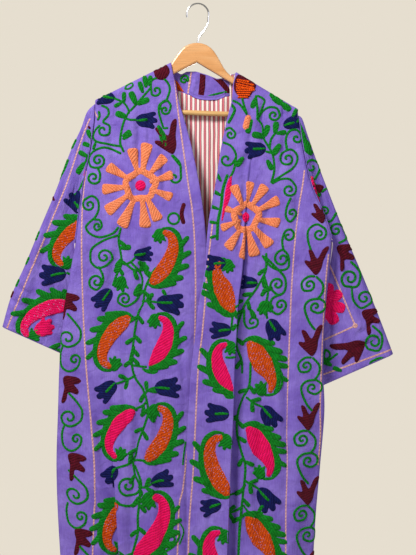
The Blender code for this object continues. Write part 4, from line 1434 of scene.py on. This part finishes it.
LEFT_LINES = [
    [(-238, -241), (-225, -261)],
    [(-254, -382), (-257, -423), (-260, -490), (-260, -592), (-256, -713), (-249, -829), (-238, -952),
        (-230, -1072), (-235, -1249), (-237, -1331)],
    [(-58, -137), (-53, -169), (-49, -196), (-45, -241), (-21, -412), (-12, -472), (-6, -561), (-5, -704),
        (-13, -900), (-31, -1081), (-41, -1133), (-45, -1249), (-47, -1331)],
]
LEFT_FLOWER = ((-129, -414), [(-114, -318), (-74, -348), (-56, -389), (-58, -441), (-88, -493),
    (-117, -509), (-172, -507), (-206, -473), (-216, -423), (-204, -371), (-149, -330)])
LEFT_COLLAR_PATCH = [(-99, -141), (-74, -137), (-63, -155), (-76, -173), (-95, -169)]

# Right front, with the same kinds of rows. A patch at the shoulder is filled with bright small loops over a
# maroon pad, which is painted shade for the gaps between them.
RIGHT_DROPS = [
    ((63, -642), 105, 120, "orange", True, "pear", 5, True),
    ((141, -822), -63, 127, "orange", True, "pear", 6, True),
    ((66, -824), 101, 118, "pink", True, "pointed", 5, False),
    ((138, -1011), -65, 122, "pink", True, "pear", 6, False),
    ((51, -1038), 98, 134, "orange", True, "round", 5, True),
    ((138, -1213), -64, 124, "orange", True, "pear", 6, True),
    ((48, -1245), 98, 126, "pink", True, "pointed", 5, False),
    ((138, -1413), -65, 112, "pink", True, "pear", 5, False),
]
RIGHT_BELLS = [
    ((194, -278), 18, 44, True),
    ((155, -330), 184, 52, True),
    ((64, -589), 182, 48, False),
    ((135, -634), 178, 40, False),
    ((160, -716), -58, 54, False),
    ((76, -738), 184, 50, False),
    ((71, -925), 180, 56, False),
    ((146, -911), -52, 56, False),
    ((53, -1124), 200, 50, False),
    ((137, -1095), -50, 60, False),
    ((135, -1276), -50, 58, False),
]
RIGHT_CLAWS = [
    ((279, -500), 78, 56),
    ((264, -616), 69, 68),
    ((255, -798), 75, 72),
    ((246, -964), 67, 66),
    ((246, -1133), 68, 68),
    ((239, -1301), 68, 66),
]
RIGHT_BORDER = [(263, -618), (255, -800), (246, -964), (245, -1133), (239, -1301)]
RIGHT_BORDER_STEP = [
    ([(-2, -1), (-16, -2), (-29, -15), (-24, -32), (-9, -33)], (-12, -20), 1.1),
    ([(9, -51), (22, -60), (22, -75), (9, -83), (-6, -78)], (2, -69), 0.9),
]
RIGHT_BORDER_STEMS = [
    [(2, -2), (17, -18), (18, -36), (9, -51)],
    [(9, -51), (-12, -54), (-23, -66), (-20, -84), (-9, -106), (3, -120)],
]
RIGHT_SCROLLS = [
    ([(136, -262), (146, -246), (162, -236), (180, -239), (186, -253)], (172, -254), 1.2),
    ([(203, -334), (200, -309), (207, -291), (223, -287), (234, -296)], (224, -306), 1.0),
    ([(169, -405), (198, -387), (221, -368), (225, -346), (210, -332), (189, -341)], (203, -353), 1.2),
    ([(60, -289), (73, -283), (85, -294)], (74, -298), 1.1),
    ([(57, -316), (76, -325), (87, -346), (80, -362)], (65, -355), 1.0),
    ([(169, -409), (187, -400), (207, -400), (221, -414)], (207, -424), 1.35),
    ([(207, -443), (200, -464), (200, -484), (210, -496), (221, -482)], (212, -476), 1.0),
    ([(195, -559), (191, -539), (196, -518), (207, -513)], (204, -528), 1.0),
    ([(146, -573), (164, -595), (187, -605), (205, -598), (203, -573), (191, -559)], (190, -579), 1.3),
    ([(148, -575), (175, -600), (196, -623), (198, -650), (185, -661), (169, -650)], (180, -637), 1.3),
    ([(185, -659), (166, -670), (166, -693), (182, -704), (196, -693)], (186, -683), 1.2),
    ([(103, -695), (105, -723), (116, -736), (132, -732)], (124, -721), 1.1),
    ([(257, -559), (249, -536), (249, -514), (266, -502), (284, -511)], (274, -524), 1.4),
]
RIGHT_TWIGS = [
    ([(135, -264), (146, -278), (148, -303), (160, -325), (171, -348), (174, -380), (168, -407)], ()),
    ([(132, -210), (135, -241), (135, -264)], ()),
    ([(163, -328), (166, -309), (175, -296)], ()),
    ([(144, -568), (146, -605), (135, -632), (121, -657), (105, -682), (96, -713), (91, -745), (94, -777),
        (107, -809), (110, -836)], ((0.12, -1), (0.2, 1), (0.34, -1), (0.4, 1), (0.5, -1), (0.72, 1),
        (0.74, -1), (0.9, -1))),
    ([(146, -618), (157, -652), (155, -684), (160, -713)], ((0.3, -1), (0.6, 1))),
    ([(110, -813), (110, -863), (96, -895), (87, -927), (87, -972), (98, -1013), (107, -1040),
        (107, -1072), (103, -1115), (98, -1172), (96, -1229), (94, -1326)], ((0.1, 1), (0.12, -1),
        (0.24, -1), (0.26, 1), (0.33, 1), (0.42, -1), (0.44, 1), (0.56, -1), (0.6, 1), (0.68, -1),
        (0.9, 1), (0.92, -1))),
    ([(110, -891), (128, -904), (148, -913)], ((0.3, 1), (0.35, -1))),
    ([(87, -936), (96, -950), (112, -956)], ()),
    ([(69, -934), (80, -938), (89, -943)], ()),
    ([(107, -1077), (121, -1086), (139, -1097)], ((0.3, 1), (0.35, -1))),
    ([(107, -1086), (91, -1104), (69, -1111)], ()),
    ([(103, -1133), (119, -1149), (146, -1149)], ((0.8, 1),)),
    ([(55, -1145), (78, -1149), (98, -1136)], ((0.3, 1), (0.35, -1))),
    ([(101, -1258), (119, -1267), (135, -1276)], ((0.4, 1), (0.45, -1))),
    ([(96, -682), (82, -691), (78, -713), (76, -736)], ((0.3, 1),)),
]
RIGHT_LEAVES = [
    ((146, -652), 20, 24), ((103, -673), 200, 24), ((119, -693), -60, 24), ((78, -741), 60, 18),
    ((132, -214), 250, 26), ((169, -216), -30, 26), ((164, -205), -38, 34), ((187, -225), -38, 30),
    ((123, -264), -110, 34, 0.8), ((153, -303), 170, 32), ((153, -302), 76, 27), ((186, -320), -122, 30),
        ((157, -356), -62, 26),
    ((175, -296), 84, 28), ((178, -296), 10, 24), ((103, -350), -128, 27),
    ((53, -405), 120, 22, 0.8),
    ((53, -437), 150, 24, 0.8), ((48, -468), 160, 22, 0.8), ((46, -500), 170, 20, 0.8),
        ((44, -527), 200, 18, 0.8),
    ((214, -259), 60, 26, 0.8), ((223, -271), 40, 20),
]
RIGHT_HANDS = [
    ((155, -673), -110, 34, False),
]
RIGHT_CORDS = [
    ([(80, -221), (96, -230), (111, -252)],),
    ([(101, -216), (105, -232), (110, -248)],),
    ([(76, -230), (84, -241), (78, -257), (70, -271)], 7),
    ([(135, -210), (151, -219), (148, -232), (135, -262)],),
    ([(87, -348), (82, -378), (73, -396)],),
    ([(67, -391), (57, -423), (53, -459), (46, -496), (44, -536)], 7),
    ([(98, -795), (78, -800), (64, -800)],),
    ([(155, -337), (171, -341)],),
]
RIGHT_LINES = [
    [(241, -380), (237, -412), (228, -468), (219, -541), (210, -668), (204, -829), (200, -952),
        (201, -1043), (198, -1133), (197, -1249), (196, -1331)],
    [(294, -570), (289, -616), (283, -713), (278, -832), (275, -906), (276, -977), (271, -1043)],
    [(34, -496), (28, -548), (21, -609), (17, -673), (10, -752), (1, -832), (-9, -1043), (-18, -1163),
        (-21, -1263), (-22, -1331)],
]
RIGHT_FLOWER = ((114, -486), [(80, -414), (121, -405), (157, -414), (189, -446), (195, -499), (178, -550),
    (145, -573), (105, -580), (67, -557), (53, -511), (62, -466)])


# The maroon pad under the shoulder loops: painted shade for the gaps between them.
SHOULDER_LOOPS_PAINTED_SHADE = [(91, -162), (112, -171), (132, -185), (126, -200), (114, -215), (98, -215), (84, -200),
    (82, -182)]
PATCH_START = (89, -173)
PATCH_LOOPS = (6, 8, 9, 9, 9, 8, 7, 6, 5)
PATCH_ROW = 5.0
PATCH_LOOP = 4.6


def embroider_left(field, lines=LEFT_LINES):
    field.each(teardrop, LEFT_DROPS)
    field.each(bell, LEFT_BELLS)
    field.each(claw, LEFT_CLAWS)
    field.border(LEFT_BORDER, LEFT_BORDER_STEP)
    field.scrolls(LEFT_SCROLLS)
    field.each(twigs, LEFT_TWIGS)
    field.each(leaf, LEFT_LEAVES)
    field.each(hand_leaf, LEFT_HANDS)
    field.each(stem, LEFT_CORDS)
    field.lines(lines)
    sunflower(field.work, *LEFT_FLOWER)
    field.each(patch, [(LEFT_COLLAR_PATCH, "maroon")])
    field.each(stem, [([(-31, -457), (-36, -477), (-32, -498)], 10, "maroon", 1.8)])
    field.each(loop_ring, [((-54, -489), 12.5)])


def embroider_right(field, lines=RIGHT_LINES):
    field.each(teardrop, RIGHT_DROPS)
    field.each(bell, RIGHT_BELLS)
    field.each(claw, RIGHT_CLAWS)
    field.border(RIGHT_BORDER, RIGHT_BORDER_STEP, RIGHT_BORDER_STEMS)
    field.scrolls(RIGHT_SCROLLS)
    field.each(twigs, RIGHT_TWIGS)
    field.each(leaf, RIGHT_LEAVES)
    field.each(hand_leaf, RIGHT_HANDS)
    field.each(stem, RIGHT_CORDS)
    field.lines(lines)
    sunflower(field.work, *RIGHT_FLOWER, 30)
    half_drop = [(76, -391), (71, -414), (67, -441), (60, -468), (55, -493)]
    field.each(stem, [(half_drop, [3, 11, 14, 11, 6, 3], "pink", 1.9)])
    field.each(stem, [([(115, -259), (112, -271), (109, -282)], 15, "peach", 2.2)])
    # Painted shade: a maroon pad under the loops darkens the gaps between them.
    field.each(patch, [(SHOULDER_LOOPS_PAINTED_SHADE, "maroon", 1.6)])
    for row, count in enumerate(PATCH_LOOPS):
        start = np.array(PATCH_START) + (1.2 * (row % 2), -row * PATCH_ROW)
        for k in range(count):
            across = k * PATCH_LOOP + (2.0 if row < 2 else 0) + 1.5 * max(row - 5, 0)
            spot = start + (across, -1.1 * k * (row < 4))
            bend = 1.4 if (k + row) % 2 else -1.4
            loop_path = [spot + (-2.1, bend), spot + (0, -bend * 0.5), spot + (2.1, bend)]
            field.work.cord(loop_path, 3.7, "hot_orange", 5.6)


def front_limits(side):
    def limits(drawn, z):
        lengths = front_lengths(side, z)
        across = side * (drawn - edge_x(side, z))
        drawn = edge_x(side, z) + side * np.clip(across, 0.8, sum(lengths) - 1.5)
        top = ridge(np.clip(drawn, side_x(LEFT, z), side_x(RIGHT, z))) - 1.5
        return drawn, np.clip(z, HEM + 1.0, top)

    return limits


def front_shift(side):
    return lambda x, z: float(drawn_place(side, x, np.float64(z)))


embroideries = {}
for side, name, embroider in ((LEFT, "front_left", embroider_left), (RIGHT, "front_right", embroider_right)):
    work = Needlework()
    embroider(Field(work, front_shift(side)))
    embroideries[name] = [work.sew(name + "_embroidery", front_cloth(side), -1, front_limits(side))]

# The sleeves' needlework: the outer face of each carries the same flowers, cut off where the sleeve
# passes behind the body, and the inner face repeats them.
LEFT_SLEEVE_DROPS = [
    ((-288, -543), -122, 118, "orange", False, "round", 5, True),
    ((-347, -713), 215, 128, "pink", False, "round", 5, True),
]
LEFT_SLEEVE_BELLS = [((-258, -475), 128, 56, False), ((-299, -611), 188, 62, False)]
LEFT_SLEEVE_LEAVES = [
    ((-242, -307), 110, 22), ((-240, -325), 160, 22), ((-249, -348), 150, 24), ((-256, -362), -125, 30),
        ((-313, -772), -150, 34, 0.8),
    ((-310, -786), -158, 40, 0.8), ((-381, -723), -130, 26, 0.8), ((-281, -496), 190, 26),
        ((-299, -673), 100, 26),
]
LEFT_SLEEVE_CORDS = [
    ([(-244, -296), (-240, -323), (-251, -355), (-263, -375)],),
    ([(-240, -328), (-247, -359), (-255, -391)], 5, "pink"),
    ([(-247, -280), (-244, -284)], 5, "maroon"),
    ([(-297, -611), (-281, -620), (-279, -639), (-294, -652)],),
    ([(-285, -437), (-267, -423), (-254, -396)],),
    ([(-331, -432), (-326, -446)], 6, "maroon"),
    ([(-360, -518), (-367, -536)], 6),
    ([(-383, -577), (-390, -591)], 6),
    ([(-406, -627), (-412, -641)], 6),
    ([(-419, -654), (-424, -666)], 6, "maroon"),
    ([(-294, -355), (-303, -378), (-313, -396)], 6),
    ([(-276, -309), (-285, -328)], 6),
    ([(-340, -461), (-347, -477)], 6),
]
LEFT_SLEEVE_LINE = [(-244, -262), (-250, -275), (-268, -323), (-298, -412), (-334, -499), (-395, -646),
    (-432, -736)]
RIGHT_SLEEVE_CLAWS = [
    ((287, -416), 172, 44),
    ((321, -548), -84, 60, True),
    ((377, -696), -78, 58, True),
    ((382, -771), 184, 81),
]
RIGHT_SLEEVE_SCROLLS = [
    ([(246, -391), (262, -400), (275, -382)], (257, -371), 1.2),
    ([(314, -475), (303, -493), (289, -491), (278, -468)], (289, -471), 1.2),
    ([(321, -543), (337, -532), (330, -509)], (314, -514), 1.3),
    ([(348, -586), (368, -611), (362, -641), (334, -641)], (346, -623), 1.3),
    ([(350, -645), (353, -673), (371, -691), (393, -679)], (378, -668), 1.3),
    ([(398, -732), (418, -754), (412, -786), (387, -784)], (400, -768), 1.3),
    ([(318, -795), (300, -809), (282, -818), (291, -786)], (291, -800), 0.8),
    ([(427, -809), (414, -804), (393, -813)], (407, -822), 0.9),
]
RIGHT_SLEEVE_LEAVES = [
    ((239, -305), -60, 30), ((237, -323), -40, 30), ((282, -822), 160, 24), ((305, -822), 150, 24),
        ((328, -834), 160, 22),
    ((232, -282), -70, 26), ((257, -423), -30, 26),
]
RIGHT_SLEEVE_CORDS = [
    ([(225, -259), (237, -287), (246, -314)],),
    ([(250, -391), (264, -409), (278, -423)],),
    ([(314, -423), (300, -416), (282, -427)],),
    ([(257, -396), (264, -423), (273, -450)], 9, "pink"),
]
RIGHT_SLEEVE_LINES = [
    [(291, -577), (300, -593), (330, -664), (358, -731)],
    [(358, -731), (328, -745), (282, -766)],
    [(439, -785), (382, -807), (324, -829), (273, -847)],
]
RIGHT_SLEEVE_PETALS = [
    ((289, -679), 76, 46, 1.15, "pink"),
    ((291, -679), 34, 44, 1.1, "pink"),
    ((291, -682), -14, 46, 1.1, "pink"),
    ((289, -686), -58, 48, 1.15, "pink"),
    ((284, -688), -102, 46, 1.1, "pink"),
    ((280, -682), 130, 44, 1.2, "pink"),
    ((280, -684), 180, 44, 1.2, "pink"),
]


def embroider_left_sleeve(field):
    field.each(teardrop, LEFT_SLEEVE_DROPS)
    field.each(bell, LEFT_SLEEVE_BELLS)
    field.each(leaf, LEFT_SLEEVE_LEAVES)
    field.each(stem, LEFT_SLEEVE_CORDS)
    motif(field.work, HAND_LEAF, (-372, -743), 12, 46, "pink")
    field.lines([LEFT_SLEEVE_LINE])


def embroider_right_sleeve(field):
    field.each(claw, RIGHT_SLEEVE_CLAWS)
    field.scrolls(RIGHT_SLEEVE_SCROLLS)
    field.each(leaf, RIGHT_SLEEVE_LEAVES)
    field.each(stem, RIGHT_SLEEVE_CORDS)
    field.each(leaf, RIGHT_SLEEVE_PETALS)
    field.lines(RIGHT_SLEEVE_LINES)
    loop_ring(field.work, (358, -731), 4.0, "pale_pink", 4.5)


def sleeve_limits(cloth):
    """The places as the sleeve has them, which differ where a motif runs off its wall."""
    return lambda x, z: tuple(cloth(x, z)[:, ::2].T)


sleeve_designs = (
    (LEFT, "sleeve_left", embroider_left_sleeve),
    (RIGHT, "sleeve_right", embroider_right_sleeve),
)
for side, name, embroider in sleeve_designs:
    for wall, face in ((-1, "_face"), (1, "_inner")):
        work = Needlework()
        embroider(Field(work))
        cloth = sleeve_face(side, wall)
        obj = work.sew(name + face + "_embroidery", cloth, wall, sleeve_limits(cloth))
        embroideries.setdefault(name, []).append(obj)

# The back's needlework isn't in the photograph. It carries the fronts' flowers in the same two
# columns, with one more large flower between the shoulders and a border down the middle.
BACK_FLOWER = (1, -269)
BACK_FLOWER_RADIUS = 76.0
BACK_FLOWER_PETALS = 12
BACK_FLOWER_CLEAR = 100.0
BACK_BORDER = [(-6, -505), (-11, -673), (-15, -841), (-17, -1009), (-22, -1177), (-24, -1345)]


def clear_of_middle(x, z):
    beside_border = abs(x - BACK_BORDER[2][0]) > 34 or z > BACK_BORDER[0][1] + 60
    return beside_border and math.hypot(x - BACK_FLOWER[0], z - BACK_FLOWER[1]) > BACK_FLOWER_CLEAR


work = Needlework()
back_field = Field(work, part=clear_of_middle)
embroider_left(back_field, LEFT_LINES[:2])
embroider_right(back_field, RIGHT_LINES[:2])
turns = np.linspace(0, 2 * math.pi, BACK_FLOWER_PETALS, endpoint=False) + 0.2
reach = BACK_FLOWER_RADIUS * (1 + 0.06 * np.sin(3 * turns))
sunflower(work, BACK_FLOWER, BACK_FLOWER + circle(turns) * reach[:, None], 27)
middle_field = Field(work)
middle_field.each(claw, [(place, 90, 52, True) for place in BACK_BORDER])
middle_field.border(BACK_BORDER, RIGHT_BORDER_STEP, RIGHT_BORDER_STEMS)


def back_limits(drawn, z):
    left, right = side_x(LEFT, z), side_x(RIGHT, z)
    drawn = np.clip(drawn, left + 6, right - 6)
    return drawn, np.clip(z, HEM + 1.0, back_top(drawn) - 1.5)


embroideries["back"] = [work.sew("back_embroidery", back_cloth, 1, back_limits)]

# The neck facing was cut from the same embroidered cloth, so scraps of flowers cross it.
work = Needlework()
work.cord(smoothed([(11, -146), (11, -169), (7, -207)]), 14, "maroon", 1.2)
work.cord(smoothed([(37, -160), (53, -175), (71, -196)]), 13, "maroon", 1.2)
work.pad([(-57, -166), (-45, -175), (-31, -198), (-52, -196), (-57, -182)], "orange", 1.2)
neck_path = np.array([(-22, -173), (-24, -162), (-33, -161), (-39, -169)], float)
scroll(work, neck_path, np.array((-31, -170)), 0.9)
work.cord(smoothed([(-15, -153), (-19, -178), (-22, -200)]), 3.6, "pale_pink", 0.8)
work.cord(smoothed([(19, -210), (39, -203), (69, -197)]), 5, "green", 1.0)


def facing_limits(drawn, z):
    drawn = np.clip(drawn, -56.5, 72.5)
    return drawn, np.clip(z, facing_low(drawn) + 1, back_top(drawn) - 1.5)


neck_work = work.sew("neck_facing_embroidery", inner_cloth, -1, facing_limits, LINING / 2)

# The hanger: a wooden body cut from beech-like board, sanded, rounded and varnished, with a round
# dowel between its arms.
GRAIN_LEAN = 0.1
BOARD_GRAIN = (1 / 0.16, 1 / 0.02)
PORES = (1 / 0.05, 1 / 0.002, 1 / 0.0011)


def varnished_wood(name, shades, grain_width, roughness):
    """Wood with its grain along x. The grain's and the pores' sizes are in metres."""
    material, tree, shader = new_material(name, roughness, 1.5)
    shader.inputs["Coat Weight"].default_value = 0.35
    shader.inputs["Coat Roughness"].default_value = 0.18
    place = node(tree, "ShaderNodeTexCoord").outputs["Object"]
    grain = stretched(tree, place, (*BOARD_GRAIN, 1 / grain_width), GRAIN_LEAN)
    pores = noise(tree, stretched(tree, place, PORES), 1.0, 2)
    shade_stops = list(zip((0.3, 0.52, 0.7), shades))
    base = ramp(tree, noise(tree, grain, 1.0, 6, Distortion=0.8), shade_stops)
    toned = darkened(tree, base, ramp(tree, pores, [(0.35, 0.86), (0.55, 1.0)]))
    finish_with(tree, shader, toned, raised(tree, pores, 0.15, 0.0003))
    return material


beech = varnished_wood("varnished beech board", ("#c98f56", "#d49e67", "#dcab78"), 0.03, 0.32)
dowel = varnished_wood("waxed ramin dowel", ("#b98d4e", "#cda264", "#dcb77c"), 0.003, 0.42)
for name, material in (("hanger_body", beech), ("hanger_bar", dowel)):
    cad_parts[name].material_slots[0].material = material

# The hook: chrome-plated steel wire bent round and screwed into the wood. Plating is smooth, bright
# and almost colourless, with very fine drawing marks along the wire.
steel, tree, shader = new_material("chrome-plated drawn steel wire", 0.16)
shader.inputs["Metallic"].default_value = 1.0
marks = noise(tree, node(tree, "ShaderNodeTexCoord").outputs["Object"], 900, 2)
plating = ramp(tree, marks, [(0.3, "#c2c4c6"), (0.7, "#dcdddd")])
finish_with(tree, shader, plating, raised(tree, marks, 0.05, 0.0002))
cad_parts["hanger_hook"].material_slots[0].material = steel

# The studio: a pale floor well below the hem, cream light from all round, a soft light above and in
# front to the left, a weaker one from the right, and one behind that lights the lining and the back.
FLOOR_HALF = 1.8
FLOOR_Z = -1.95
floor_mesh = bpy.data.meshes.new("studio_floor")
floor_corners = [(x * FLOOR_HALF, y * FLOOR_HALF, FLOOR_Z) for x, y in ((-1, -1), (1, -1), (1, 1), (-1, 1))]
floor_mesh.from_pydata(floor_corners, [], [(0, 1, 2, 3)])
floor = bpy.data.objects.new("studio_floor", floor_mesh)
bpy.context.scene.collection.objects.link(floor)
plaster, tree, shader = new_material("pale matt studio floor", 0.9)
speck = node(tree, "ShaderNodeTexNoise", Scale=6, Detail=4)
plaster_colour = ramp(tree, speck.outputs["Fac"], [(0.3, "#e6dfd2"), (0.7, "#ece6da")])
tree.links.new(shader.inputs["Base Color"], plaster_colour)
floor_mesh.materials.append(plaster)

world = bpy.context.scene.world or bpy.data.worlds.new("studio")
bpy.context.scene.world = world
world.use_nodes = True
tree = world.node_tree
ground = tree.nodes["Background"]
ground.inputs["Color"].default_value = linear("#f4efe8")
seen = node(tree, "ShaderNodeLightPath").outputs["Is Camera Ray"]
wall = node(tree, "ShaderNodeBackground", Color=linear("#e6decf"), Strength=1.0)
both = node(tree, "ShaderNodeMixShader", [(0, seen), (1, ground.outputs[0]), (2, wall.outputs[0])])
tree.links.new(tree.nodes["World Output"].inputs["Surface"], both.outputs[0])
ground.inputs["Strength"].default_value = 0.33


def soft_light(name, place, aim, power, size, colour):
    light = bpy.data.lights.new(name, "AREA")
    light.energy = power
    light.size = size
    light.color = linear(colour)[:3]
    lamp = bpy.data.objects.new(name, light)
    lamp.location = place
    lamp.rotation_euler = (Vector(aim) - Vector(place)).to_track_quat("-Z", "Y").to_euler()
    bpy.context.scene.collection.objects.link(lamp)


soft_light("key", (-1.3, -1.9, 1.35), (0, 0, -0.6), 106, 0.7, "#fff8f0")
soft_light("fill", (1.9, -2.1, 0.2), (0, 0, -0.6), 16, 1.6, "#f6f4ff")
soft_light("behind", (0.5, 2.7, 0.2), (0, 0, -0.6), 50, 1.4, "#fff8f0")
bpy.context.scene.view_settings.view_transform = "Standard"
